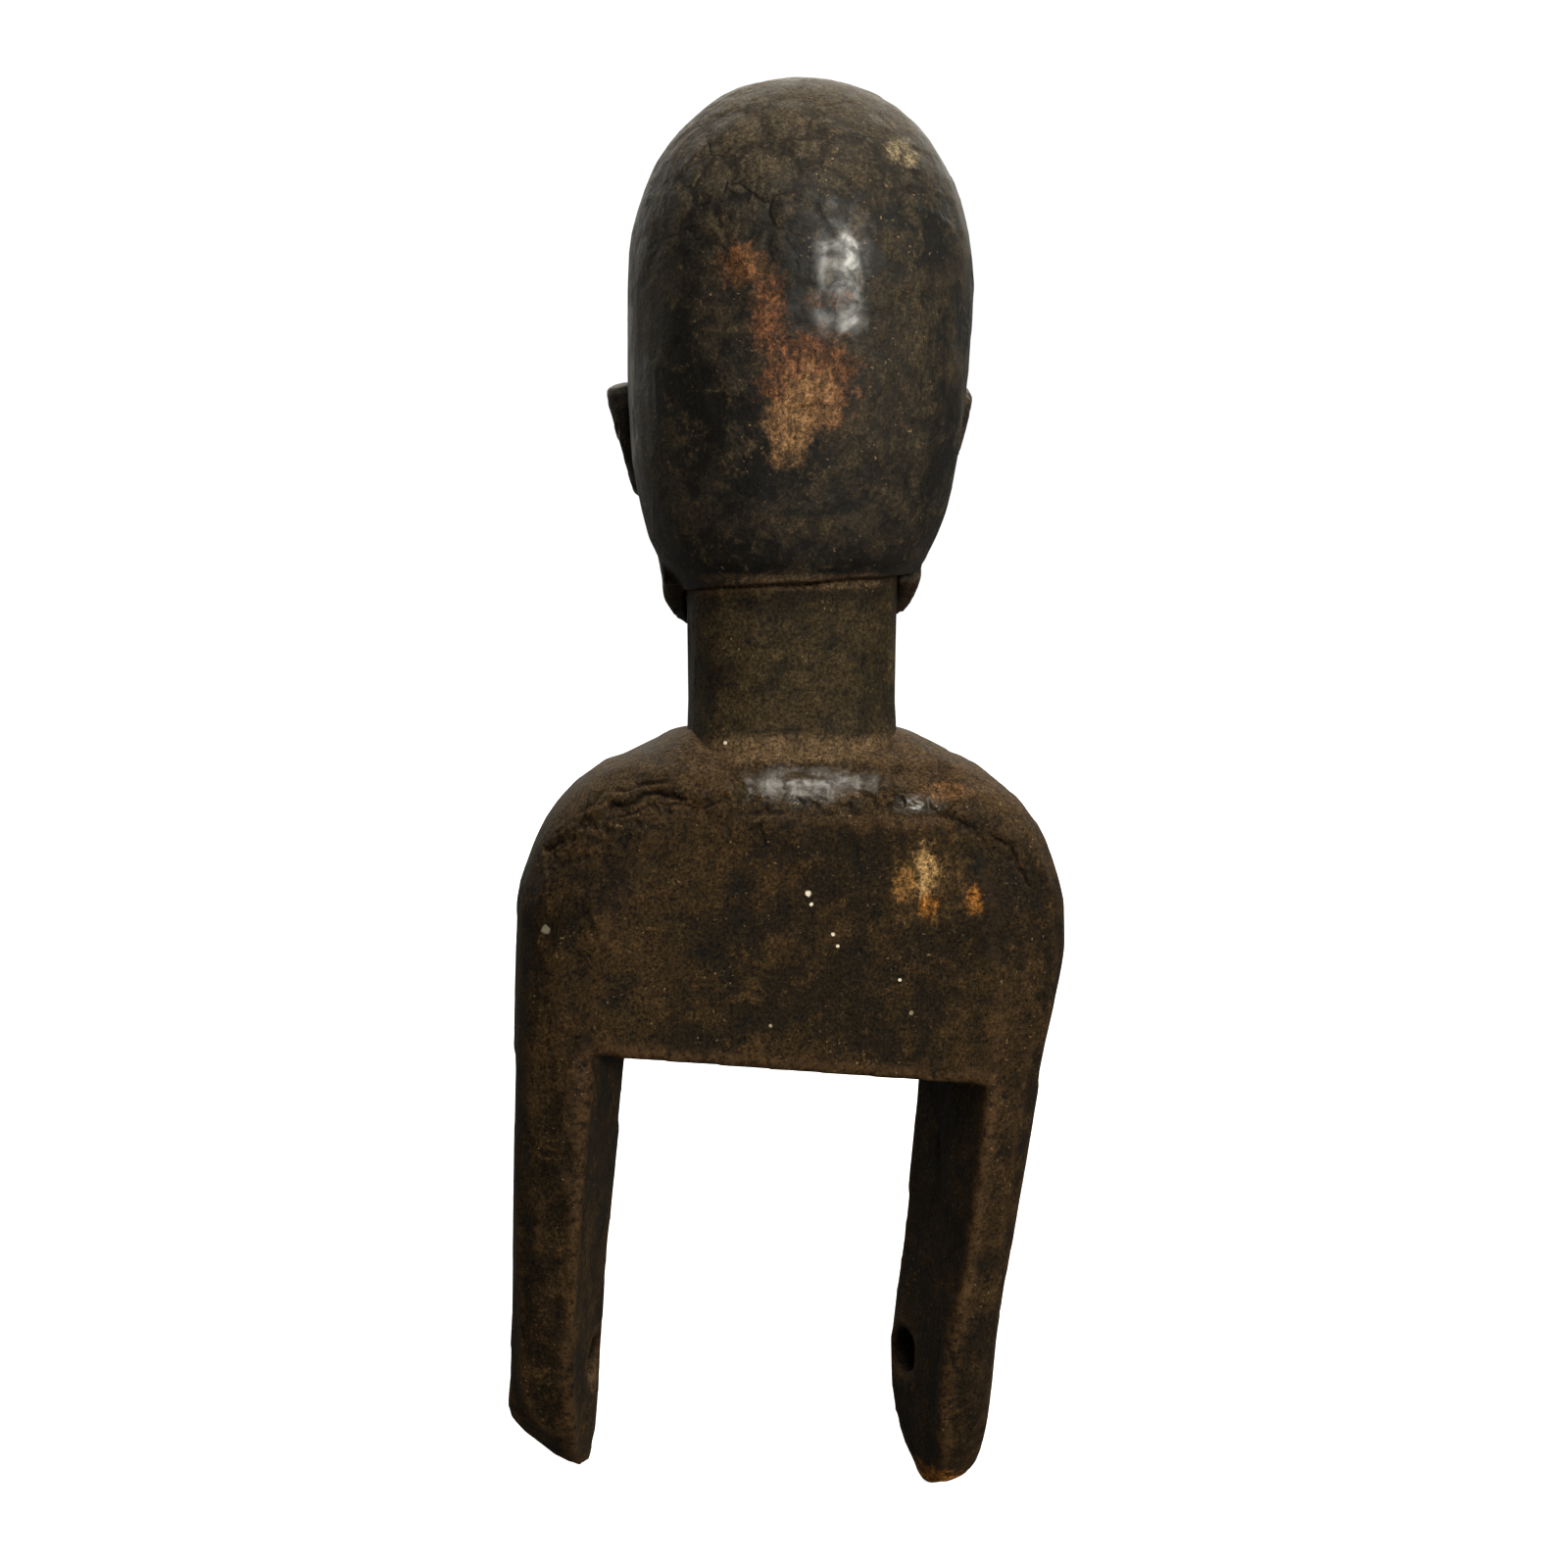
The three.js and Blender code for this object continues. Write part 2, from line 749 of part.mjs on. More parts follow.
region("left_arm", leftArmSolid, rubbed);
region("right_arm", rightArmSolid, rubbed);
region("shoulder_yoke", yokeSolid, crusted);
region("neck", neckSolid, rubbed);
region("skull", skullSolid, handled);
region("face", faceSolid, handled);
region("left_ear", earSolid(1), handled);
region("right_ear", earSolid(-1), handled);

// The origin is the middle of the carving's footprint, on the surface that the arm tips stand on.
const extent = new THREE.Box3().setFromObject(carving);
const middle = extent.getCenter(new THREE.Vector3());
carving.position.set(-middle.x, -middle.y, -extent.min.z);

export default carving;
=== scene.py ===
# %% [markdown]
# # A carved heddle pulley
#
# The object is one block of dense wood, carved with an adze and a knife into a head, a neck, a shoulder yoke and
# two arms, then darkened by smoke, oil and years of hands. Its shape is already right in the CAD frame, but
# flat-sided and clean. This notebook turns that frame into carved wood: it fuses the frame's regions into soft
# forms, lets Geometry Nodes cut the knife facets, works the chips and cracks in numpy, and lays the patina
# with procedural materials.

# %% Load the frame
import math

import bmesh
import bpy
import numpy as np
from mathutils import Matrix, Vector


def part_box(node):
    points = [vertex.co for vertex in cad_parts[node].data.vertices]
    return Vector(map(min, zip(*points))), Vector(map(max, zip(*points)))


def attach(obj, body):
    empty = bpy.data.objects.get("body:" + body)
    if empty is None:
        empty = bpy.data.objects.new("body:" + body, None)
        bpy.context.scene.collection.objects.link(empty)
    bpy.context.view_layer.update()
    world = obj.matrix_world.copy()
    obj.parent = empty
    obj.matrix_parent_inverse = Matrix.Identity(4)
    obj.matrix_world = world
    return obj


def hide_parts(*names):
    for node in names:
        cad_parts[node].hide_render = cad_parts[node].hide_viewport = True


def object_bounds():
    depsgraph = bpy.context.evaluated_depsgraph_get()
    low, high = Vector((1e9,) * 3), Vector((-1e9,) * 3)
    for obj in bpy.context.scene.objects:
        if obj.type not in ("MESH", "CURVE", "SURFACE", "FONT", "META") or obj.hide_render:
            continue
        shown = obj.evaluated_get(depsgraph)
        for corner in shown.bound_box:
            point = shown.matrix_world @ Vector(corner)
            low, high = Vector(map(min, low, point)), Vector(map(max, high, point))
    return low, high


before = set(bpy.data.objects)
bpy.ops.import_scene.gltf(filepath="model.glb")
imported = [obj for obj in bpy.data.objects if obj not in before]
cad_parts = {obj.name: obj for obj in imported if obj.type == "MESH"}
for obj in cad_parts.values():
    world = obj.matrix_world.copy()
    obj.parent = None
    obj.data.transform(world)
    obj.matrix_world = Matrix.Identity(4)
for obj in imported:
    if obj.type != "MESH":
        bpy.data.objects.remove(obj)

MM = 0.001
cad_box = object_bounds()
scene = bpy.context.scene
print("CAD box, mm:", [[round(c / MM, 1) for c in corner] for corner in cad_box])

# %% [markdown]
# ## Camera
#
# The pulley is seen from behind, from a little to its left and a little above, from close by. A normal lens of
# about 50 mm at 0.3 m gives the same widening of what is near. The camera could be aimed with a constraint, but
# its direction is simply worked out once.

# %% Camera
CAMERA_AZIMUTH, CAMERA_ELEVATION = 176, 6
CAMERA_DISTANCE = 0.3
CAMERA_SHIFT = (0.0023, 0.0141)


def look_from(azimuth, elevation, distance, target):
    """A place on a sphere round target. Azimuth 0 looks along +Y, and 180 looks at the figure's back."""
    turn, rise = math.radians(azimuth), math.radians(elevation)
    way = Vector((math.sin(turn) * math.cos(rise), -math.cos(turn) * math.cos(rise), math.sin(rise)))
    return target + distance * way


middle = Vector((0, 0, (cad_box[0][2] + cad_box[1][2]) / 2))
camera_data = bpy.data.cameras.new("camera")
camera_data.sensor_width = 36
camera_data.lens = 50.9
camera_data.shift_x, camera_data.shift_y = CAMERA_SHIFT
camera_data.clip_start = 0.01
camera = bpy.data.objects.new("camera", camera_data)
scene.collection.objects.link(camera)
camera.location = look_from(CAMERA_AZIMUTH, CAMERA_ELEVATION, CAMERA_DISTANCE, middle)
camera.rotation_euler = (middle - camera.location).to_track_quat("-Z", "Y").to_euler()
scene.camera = camera
print("camera at, mm:", [round(c / MM) for c in camera.location])

# %% [markdown]
# ## Fusing the frame's regions into carved forms
#
# The real thing is one block. Five forms can be told apart in it: the head with its face, two ears, a squared
# neck, and the yoke with both arms. Within a form there is no line, neither between the yoke and its arms nor
# between the face and the cap of the head, but the frame keeps small gaps there. A boolean union can't close a gap,
# so each region is swollen by a hair, and a voxel remesh fuses what then overlaps. The remesh also gives an even,
# dense mesh, which is what facets, chips and cracks need. The ears are small, so their voxels are finer.

# %% Fuse regions
WELD = 0.002


def evaluated(piece):
    """The piece with its modifiers applied and removed."""
    graph = bpy.context.evaluated_depsgraph_get()
    mesh = bpy.data.meshes.new_from_object(piece.evaluated_get(graph), depsgraph=graph)
    piece.modifiers.clear()
    piece.data = mesh
    return piece


def fuse(name, nodes, swell, voxel):
    """One even mesh from copies of CAD nodes, each swollen by swell. Sizes are in millimetres."""
    whole = bmesh.new()
    for node in nodes:
        part = bmesh.new()
        part.from_mesh(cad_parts[node].data)
        bmesh.ops.remove_doubles(part, verts=part.verts, dist=WELD * MM)
        part.normal_update()
        for vertex in part.verts:
            vertex.co += vertex.normal * swell * MM
        copy = bpy.data.meshes.new(name)
        part.to_mesh(copy)
        whole.from_mesh(copy)
        part.free()
    mesh = bpy.data.meshes.new(name)
    whole.to_mesh(mesh)
    whole.free()
    piece = bpy.data.objects.new(name, mesh)
    scene.collection.objects.link(piece)
    remesh = piece.modifiers.new("fuse", "REMESH")
    remesh.mode = "VOXEL"
    remesh.voxel_size = voxel * MM
    return evaluated(piece)


head = fuse("head", ["skull", "face"], swell=0.1, voxel=0.4)
left_ear = fuse("left_ear_piece", ["left_ear"], swell=0.35, voxel=0.3)
right_ear = fuse("right_ear_piece", ["right_ear"], swell=0.35, voxel=0.3)
neck = fuse("neck_piece", ["neck"], swell=0.02, voxel=0.42)
fork = fuse("yoke_and_arms", ["shoulder_yoke", "left_arm", "right_arm"], swell=0.16, voxel=0.6)
pieces = (head, left_ear, right_ear, neck, fork)
for piece in pieces:
    print(piece.name, len(piece.data.vertices), "points")

# %% [markdown]
# ## Working on the surface with numpy
#
# A sculptor pushes the surface in and out along its normal. The same is done here with arrays: read every point
# and normal, work out a depth for each point from simple shapes, and write the points back.

# %% Reading and writing points
def points_of(piece):
    """The piece's points as rows of x, y and z, in millimetres."""
    flat = np.empty(len(piece.data.vertices) * 3)
    piece.data.vertices.foreach_get("co", flat)
    return flat.reshape(-1, 3) / MM


def normals_of(piece):
    flat = np.empty(len(piece.data.vertices) * 3)
    piece.data.vertices.foreach_get("normal", flat)
    return flat.reshape(-1, 3)


def move_points(piece, points):
    piece.data.vertices.foreach_set("co", (points * MM).ravel())
    piece.data.update()


def neighbour_mean(mesh):
    """A function that replaces each point's value by the mean of its neighbours' values."""
    pairs = np.empty(len(mesh.edges) * 2, int)
    mesh.edges.foreach_get("vertices", pairs)
    a, b = pairs.reshape(-1, 2).T
    size = len(mesh.vertices)
    count = np.bincount(np.concatenate([a, b]), minlength=size)

    def mean(values):
        columns = [values] if values.ndim == 1 else list(values.T)
        means = [(np.bincount(a, c[b], size) + np.bincount(b, c[a], size)) / count for c in columns]
        return means[0] if values.ndim == 1 else np.stack(means, axis=1)

    return mean


INWARD, OUTWARD = 0.5, 0.52


def relax(piece, rounds):
    """Smooths without shrinking: each step towards the neighbours is followed by a slightly larger step back."""
    mean = neighbour_mean(piece.data)
    points = points_of(piece)
    for _ in range(rounds):
        points += INWARD * (mean(points) - points)
        points -= OUTWARD * (mean(points) - points)
    move_points(piece, points)


for piece in pieces:
    print(piece.name, "spans, mm:", np.ptp(points_of(piece), axis=0).round(1))


# %% Distances and noise
def step_up(low, high, value):
    """0 below low, 1 above high, and smooth between."""
    t = np.clip((value - low) / (high - low), 0, 1)
    return t * t * (3 - 2 * t)


def distance_to_line(points, line):
    """How far each (x, z) point lies from a line of (x, z) corners."""
    best = np.full(len(points), 1e9)
    for start, end in zip(line[:-1], line[1:]):
        start, end = np.array(start, float), np.array(end, float)
        along = end - start
        t = np.clip(((points - start) @ along) / (along @ along), 0, 1)
        best = np.minimum(best, np.linalg.norm(points - start - t[:, None] * along, axis=1))
    return best


WAVE_COUNT = 24


def waves(points, size, seed):
    """Smooth seeded noise, mostly from -1 to 1, as a sum of plane waves of about the given size."""
    rng = np.random.default_rng(seed)
    total = np.zeros(len(points))
    for _ in range(WAVE_COUNT):
        way = rng.normal(size=3)
        way *= 2 * math.pi / (size * rng.uniform(0.7, 1.6) * np.linalg.norm(way))
        total += np.sin(points @ way + rng.uniform(0, 2 * math.pi))
    return total / math.sqrt(WAVE_COUNT / 2) / 1.5


sample = waves(points_of(neck), 5, 0)
print("a noise on the neck goes from", sample.min().round(2), "to", sample.max().round(2))

# %% [markdown]
# ## Smoothing
#
# Worn wood has no sharp triangles, but the remesh keeps the frame's flat ones and adds small steps of its own. A
# Smooth modifier would take both away and shrink the form with them. So each round of smoothing is followed by a
# slightly larger step back, which keeps the volume. Large forms get more rounds than the small ears.

# %% Smooth away the frame's flat triangles
SMOOTHING_ROUNDS = ((head, 14), (left_ear, 4), (right_ear, 4), (neck, 12), (fork, 9))
for piece, rounds in SMOOTHING_ROUNDS:
    before = points_of(piece)
    relax(piece, rounds)
    print(piece.name, "moved by up to", round(float(np.abs(points_of(piece) - before).max()), 2), "mm")

# %% [markdown]
# ## The neck, the shoulders, the arm tips and the ears
#
# The neck doesn't stand on flat shoulders like a post: they rise to meet its sides, and its foot flares a little.
# Both are small smooth pushes that depend only on how far a point lies from the neck's outline. The neck also
# runs on a little into the yoke and into the head, so no gap is left. The left arm ends at a slant, both tips are
# worn round, and the ears sit a touch higher than the frame has them. A lattice could bend all of this too, but
# a few lines on the points say exactly how far each push goes.

# %% The neck's outline
neck_low, neck_high = (np.array(corner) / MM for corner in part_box("neck"))
neck_middle = (neck_low + neck_high) / 2
neck_half = (neck_high - neck_low) / 2
NECK_SQUARENESS = 2.7


def outside_neck(points):
    """How far each point lies outside the neck's outline, in mm, and how much it faces left or right (0 to 1)."""
    share = np.abs((points[:, :2] - neck_middle[:2]) / neck_half[:2])
    radius = np.sum(share ** NECK_SQUARENESS, axis=1) ** (1 / NECK_SQUARENESS)
    sideways = share[:, 0] / (share[:, 0] + share[:, 1] + 1e-6)
    return (radius - 1) * neck_half[0], step_up(0.42, 0.72, sideways)


print("neck half width and half depth, mm:", neck_half[:2].round(1))

# %% Blend neck and shoulders
FLARE, FLARE_HEIGHT = 0.5, 6
INTO_YOKE, INTO_HEAD = 2.5, 1.2
RISE_REACH = 7.5
RISE_BEHIND, RISE_BESIDE = 0.2, 2.3


def blend_neck(points):
    """Flares the neck's foot in front and behind, and runs both ends on into their neighbours."""
    _, side = outside_neck(points)
    low = 1 - step_up(neck_low[2], neck_low[2] + FLARE_HEIGHT, points[:, 2])
    flare = FLARE * (1 - side) * low ** 1.6
    away = points[:, :2] - neck_middle[:2]
    points[:, :2] += flare[:, None] * away / np.linalg.norm(away, axis=1, keepdims=True).clip(1)
    points[:, 2] -= INTO_YOKE * (1 - step_up(neck_low[2], neck_low[2] + 0.8, points[:, 2]))
    points[:, 2] += INTO_HEAD * step_up(neck_high[2] - 2.6, neck_high[2] - 1.2, points[:, 2])
    return points


def blend_shoulders(points):
    """Lifts the top of the yoke round the neck, most of all beside it."""
    out, side = outside_neck(points)
    near = np.exp(-(np.clip(out, 0, None) / RISE_REACH) ** 2) * step_up(98, 101, points[:, 2])
    points[:, 2] += near * (RISE_BEHIND + RISE_BESIDE * side)
    return points


# %% Shape the arm tips and set the ears
SLANT, SLANT_DROP = 4.1, 1.0
EAR_LIFT = np.array([0, 0, 1.5])


def slant_left_tip(points):
    """Cuts the end of the left arm at a slant: its outer edge ends higher than its inner one."""
    low = (1 - step_up(7, 17, points[:, 2])) * (points[:, 0] > 15)
    outward = np.clip((points[:, 0] - 27) / 10, 0, 1)
    points[:, 2] += low * (SLANT * outward - SLANT_DROP)
    return points


def round_tips(piece, rounds=22):
    """Plain smoothing of the last few millimetres of both arms, as thumbs and floors wear them."""
    mean = neighbour_mean(piece.data)
    points = points_of(piece)
    share = (1 - step_up(3, 8, points[:, 2]))[:, None]
    for _ in range(rounds):
        points += INWARD * share * (mean(points) - points)
    move_points(piece, points)


move_points(fork, slant_left_tip(points_of(fork)))
round_tips(fork)
for ear in (left_ear, right_ear):
    move_points(ear, points_of(ear) + EAR_LIFT)
move_points(neck, blend_neck(points_of(neck)))
move_points(fork, blend_shoulders(points_of(fork)))
print("the arms now end at", round(float(points_of(fork)[:, 2].min()), 2), "mm")

# %% [markdown]
# ## Knife facets with Geometry Nodes
#
# A knife leaves small flat cuts all over a curved form. They repeat by a rule: each belongs to one stroke, and
# within a stroke the surface is nearly a plane. Sculpting thousands by hand makes no sense, so a node tree does
# it. A Voronoi texture divides the surface into strokes, Sample Nearest Surface finds the tangent plane at each
# stroke's middle, and the points move towards that plane. Noise then wears the surface unevenly.

# %% Filling in node trees
class Net:
    """A node tree that is filled in by short calls. An input is a number, a tuple or another node's socket."""

    def __init__(self, tree):
        self.tree = tree

    def add(self, kind, inputs=None, **settings):
        node = self.tree.nodes.new(kind)
        for name, value in settings.items():
            setattr(node, name, value)
        for key, value in (inputs or {}).items():
            socket = node.inputs[key]
            if isinstance(value, bpy.types.NodeSocket):
                self.tree.links.new(value, socket)
            else:
                socket.default_value = value
        return node

    def math(self, operation, a, b=0.0, clamp=False):
        node = self.add("ShaderNodeMath", {0: a, 1: b}, operation=operation, use_clamp=clamp)
        return node.outputs[0]

    def vector(self, operation, a, b=(0, 0, 0), scale=1.0):
        inputs = {0: a, 3: scale} if operation == "SCALE" else {0: a, 1: b}
        node = self.add("ShaderNodeVectorMath", inputs, operation=operation)
        return node.outputs["Value" if operation in ("DOT_PRODUCT", "LENGTH") else "Vector"]

    def ramp(self, value, low, high, start=0.0, end=1.0):
        """Maps low..high smoothly to start..end."""
        inputs = {"Value": value, "From Min": low, "From Max": high, "To Min": start, "To Max": end}
        return self.add("ShaderNodeMapRange", inputs, interpolation_type="SMOOTHSTEP").outputs[0]


# %% The facet tree
def facet_tree():
    """Draws each stroke's points towards the stroke's own tangent plane, then wears the surface with noise."""
    tree = bpy.data.node_groups.new("Knife facets", "GeometryNodeTree")
    sockets = [
        ("Geometry", "INPUT", "NodeSocketGeometry", None),
        ("Stroke Width", "INPUT", "NodeSocketFloat", 0.005),
        ("Stroke Length", "INPUT", "NodeSocketFloat", 2.0),
        ("Flatness", "INPUT", "NodeSocketFloat", 0.8),
        ("Deepest Cut", "INPUT", "NodeSocketFloat", 0.0004),
        ("Wear", "INPUT", "NodeSocketFloat", 0.0003),
        ("Wear Size", "INPUT", "NodeSocketFloat", 0.008),
        ("Seed", "INPUT", "NodeSocketFloat", 0.0),
        ("Material", "INPUT", "NodeSocketMaterial", None),
        ("Geometry", "OUTPUT", "NodeSocketGeometry", None),
    ]
    for name, way, kind, value in sockets:
        socket = tree.interface.new_socket(name, in_out=way, socket_type=kind)
        if value is not None:
            socket.default_value = value
    net = Net(tree)
    given = net.add("NodeGroupInput").outputs
    place = net.add("GeometryNodeInputPosition").outputs[0]
    normal = net.add("GeometryNodeInputNormal").outputs[0]
    shape = net.add("ShaderNodeCombineXYZ", {0: 1.0, 1: 1.0, 2: given["Stroke Length"]}).outputs[0]
    shift = net.add("ShaderNodeCombineXYZ", {0: given["Seed"], 1: given["Seed"], 2: given["Seed"]}).outputs[0]
    squeezed = net.vector("ADD", net.vector("DIVIDE", place, shape), shift)
    density = net.math("DIVIDE", 1.0, given["Stroke Width"])
    cells = net.add(
        "ShaderNodeTexVoronoi", {"Vector": squeezed, "Scale": density}, voronoi_dimensions="3D", feature="F1"
    )
    centre = net.vector("MULTIPLY", net.vector("SUBTRACT", cells.outputs["Position"], shift), shape)

    def at_centre(value):
        inputs = {"Mesh": given["Geometry"], "Value": value, "Sample Position": centre}
        node = net.add("GeometryNodeSampleNearestSurface", data_type="FLOAT_VECTOR")
        for key, source in inputs.items():
            net.tree.links.new(source, node.inputs[key])
        return node.outputs["Value"]

    flat_normal = net.vector("NORMALIZE", at_centre(normal))
    gap = net.vector("DOT_PRODUCT", net.vector("SUBTRACT", at_centre(place), place), flat_normal)
    limit = given["Deepest Cut"]
    cut = net.math("MAXIMUM", net.math("MINIMUM", gap, limit), net.math("MULTIPLY", limit, -1.0))
    cut = net.math("MULTIPLY", cut, given["Flatness"])
    worn = net.add(
        "ShaderNodeTexNoise",
        {"Vector": squeezed, "Scale": net.math("DIVIDE", 1.0, given["Wear Size"]), "Detail": 4.0, "Roughness": 0.6},
    ).outputs[0]
    wear = net.math("MULTIPLY", net.math("SUBTRACT", worn, 0.5), given["Wear"])
    offset = net.vector("ADD", net.vector("SCALE", flat_normal, scale=cut), net.vector("SCALE", normal, scale=wear))
    moved = net.add("GeometryNodeSetPosition", {"Geometry": given["Geometry"], "Offset": offset})
    plain = net.add("GeometryNodeRealizeInstances", {"Geometry": moved.outputs[0]})
    painted = net.add("GeometryNodeSetMaterial", {"Geometry": plain.outputs[0], "Material": given["Material"]})
    net.add("NodeGroupOutput", {0: painted.outputs[0]})
    return tree


FACETS = facet_tree()


def carve_facets(piece, material, **sizes):
    """Runs the facet tree on a piece and keeps the result as a plain mesh."""
    modifier = piece.modifiers.new("facets", "NODES")
    modifier.node_group = FACETS
    wanted = {"Material": material, **sizes}
    for item in FACETS.interface.items_tree:
        if item.in_out == "INPUT" and item.name in wanted:
            modifier[item.identifier] = wanted[item.name]
    evaluated(piece)


print("facet tree has", len(FACETS.nodes), "nodes")

# %% [markdown]
# ## Materials
#
# The patina is built from a few effects that every part of the carving shares: mottled crust, grit, wood fibre,
# crackle, scratches, rubbed edges, settled dust, islands of polish, and patches worn to bare wood. Painting them
# on an unwrapped copy would work too, but would show seams. Here each is a node group that puts out masks, values
# or a colour. All patterns read the object's own coordinates in millimetres, so they run on from one piece to the
# next.

# %% Helpers for effects
def colour(r, g, b):
    """A colour as its linear values, from the 0 to 255 values a colour picker shows."""
    def linear(c):
        c /= 255
        return c / 12.92 if c <= 0.04045 else ((c + 0.055) / 1.055) ** 2.4
    return (linear(r), linear(g), linear(b), 1.0)


KINDS = {"f": "NodeSocketFloat", "v": "NodeSocketVector", "c": "NodeSocketColor"}


def effect(name, inputs, outputs, build):
    """A shader node group. inputs are (name, kind, value), outputs are (name, kind)."""
    tree = bpy.data.node_groups.new(name, "ShaderNodeTree")
    for label, kind, value in inputs:
        tree.interface.new_socket(label, in_out="INPUT", socket_type=KINDS[kind]).default_value = value
    for label, kind in outputs:
        tree.interface.new_socket(label, in_out="OUTPUT", socket_type=KINDS[kind])
    net = Net(tree)
    given = net.add("NodeGroupInput").outputs
    results = build(net, given)
    net.add("NodeGroupOutput", {label: results[label] for label, _ in outputs})
    return tree


def noise(net, place, scale, detail=4.0, rough=0.55, twist=0.0):
    """Soft cloudy noise, mostly between 0.3 and 0.7. A scale of 1 makes clouds about a millimetre across."""
    inputs = {"Vector": place, "Scale": scale, "Detail": detail, "Roughness": rough, "Distortion": twist}
    return net.add("ShaderNodeTexNoise", inputs).outputs[0]


def blend(net, factor, a, b, mode="MIX"):
    node = net.add("ShaderNodeMix", {0: factor, 6: a, 7: b}, data_type="RGBA", blend_type=mode)
    return node.outputs[2]


# %% Effects of the wood and its crust
def build_millimetres(net, given):
    place = net.add("ShaderNodeTexCoord").outputs["Object"]
    return {"Place": net.vector("SCALE", place, scale=1 / MM)}


def build_crust(net, given):
    """Broad dark and brown clouds with smaller lighter and blacker blotches, and the height that goes with them."""
    place = given["Place"]
    broad = noise(net, place, 0.085, 5.0, 0.62, 0.5)
    blotch = noise(net, place, 0.3, 6.0, 0.7, 0.4)
    small = noise(net, place, 1.1, 5.0, 0.72)
    tone = net.math("ADD", net.math("MULTIPLY", broad, 0.5), net.math("MULTIPLY", blotch, 0.35))
    tone = net.math("ADD", tone, net.math("MULTIPLY", small, 0.15))
    brown = net.ramp(tone, 0.45, 0.56)
    base = blend(net, brown, given["Dark"], given["Brown"])
    warm = net.math("MULTIPLY", net.ramp(blotch, 0.53, 0.63), net.ramp(small, 0.38, 0.66))
    base = blend(net, net.math("MULTIPLY", warm, given["Light Amount"]), base, given["Light"])
    black = net.math("MULTIPLY", net.ramp(blotch, 0.36, 0.48, 1.0, 0.0), net.ramp(small, 0.38, 0.58))
    base = blend(net, net.math("MULTIPLY", black, 0.85), base, given["Black"])
    height = net.math("ADD", net.math("MULTIPLY", blotch, 0.2), net.math("MULTIPLY", small, 0.055))
    return {"Color": base, "Height": height, "Tone": tone}


def build_grit(net, given):
    """Fine dark and light grains a quarter of a millimetre across, and a sprinkle of larger tan ones."""
    place = given["Place"]
    fine = noise(net, place, 2.3, 4.0, 0.9)
    shade = net.ramp(fine, 0.34, 0.68, 0.25, 1.9)
    grains = noise(net, place, 1.9, 2.0, 0.6)
    where = net.ramp(noise(net, place, 0.16, 3.0, 0.6), 0.44, 0.64)
    tan = net.math("MULTIPLY", net.ramp(grains, 0.66, 0.73), where)
    return {"Shade": shade, "Tan": tan, "Height": net.math("MULTIPLY", fine, 0.024)}


def build_fibre(net, given):
    """Long streaks of grain that run up the block, and the short dark pores between them."""
    long = noise(net, net.vector("MULTIPLY", given["Place"], (1.0, 1.0, 0.07)), 1.3, 5.0, 0.7, 0.15)
    pores = noise(net, net.vector("MULTIPLY", given["Place"], (2.6, 2.6, 0.32)), 1.0, 3.0, 0.8)
    pore = net.ramp(pores, 0.60, 0.72)
    height = net.math("SUBTRACT", net.math("MULTIPLY", long, 0.03), net.math("MULTIPLY", pore, 0.03))
    return {"Streak": net.ramp(long, 0.3, 0.7), "Pore": pore, "Height": height}


# %% Effects of age and use
def build_crackle(net, given):
    """Dark lines between rounded cells, as in a thick old varnish."""
    place = given["Place"]
    push = net.add("ShaderNodeTexNoise", {"Vector": place, "Scale": 0.45, "Detail": 3.0}).outputs["Color"]
    bent = net.vector("ADD", place, net.vector("SCALE", push, scale=2.6))
    node = net.add("ShaderNodeTexVoronoi", {"Vector": bent, "Scale": given["Scale"]}, feature="DISTANCE_TO_EDGE")
    width = net.math("MULTIPLY", net.ramp(noise(net, place, 0.5), 0.38, 0.62, 0.2, 1.0), given["Width"])
    line = net.math("SUBTRACT", 1.0, net.math("DIVIDE", node.outputs["Distance"], width, clamp=True))
    line = net.math("MULTIPLY", net.math("POWER", line, 0.8), net.ramp(noise(net, place, 0.22, 3.0), 0.3, 0.42))
    return {"Lines": line, "Cobble": net.ramp(node.outputs["Distance"], 0.0, 0.4)}


def build_scratches(net, given):
    """Thin pale lines at one slant, here and there."""
    node = net.add("ShaderNodeMapping", {"Vector": given["Place"], "Rotation": given["Turn"]})
    node.inputs["Scale"].default_value = (0.9, 0.9, 0.06)
    lines = noise(net, node.outputs[0], 1.2, 1.0, 0.4)
    thin = net.ramp(net.math("ABSOLUTE", net.math("SUBTRACT", lines, 0.5)), 0.0, 0.005, 1.0, 0.0)
    where = net.ramp(noise(net, given["Place"], 0.35, 4.0, 0.7), 0.6, 0.7)
    return {"Lines": net.math("MULTIPLY", thin, where)}


def build_patch(net, given):
    """A fuzzy ragged spot round a centre: 1 inside, broken up towards its edge, and 0 outside."""
    away = net.vector("DIVIDE", net.vector("SUBTRACT", given["Place"], given["Centre"]), given["Reach"])
    far = net.vector("LENGTH", away)
    rough = net.math("SUBTRACT", noise(net, given["Place"], given["Grain"], 6.0, 0.72), 0.5)
    edge = net.math("ADD", far, net.math("MULTIPLY", rough, given["Ragged"]))
    return {"Mask": net.ramp(edge, net.math("SUBTRACT", 1.0, given["Fade"]), 1.15, 1.0, 0.0)}


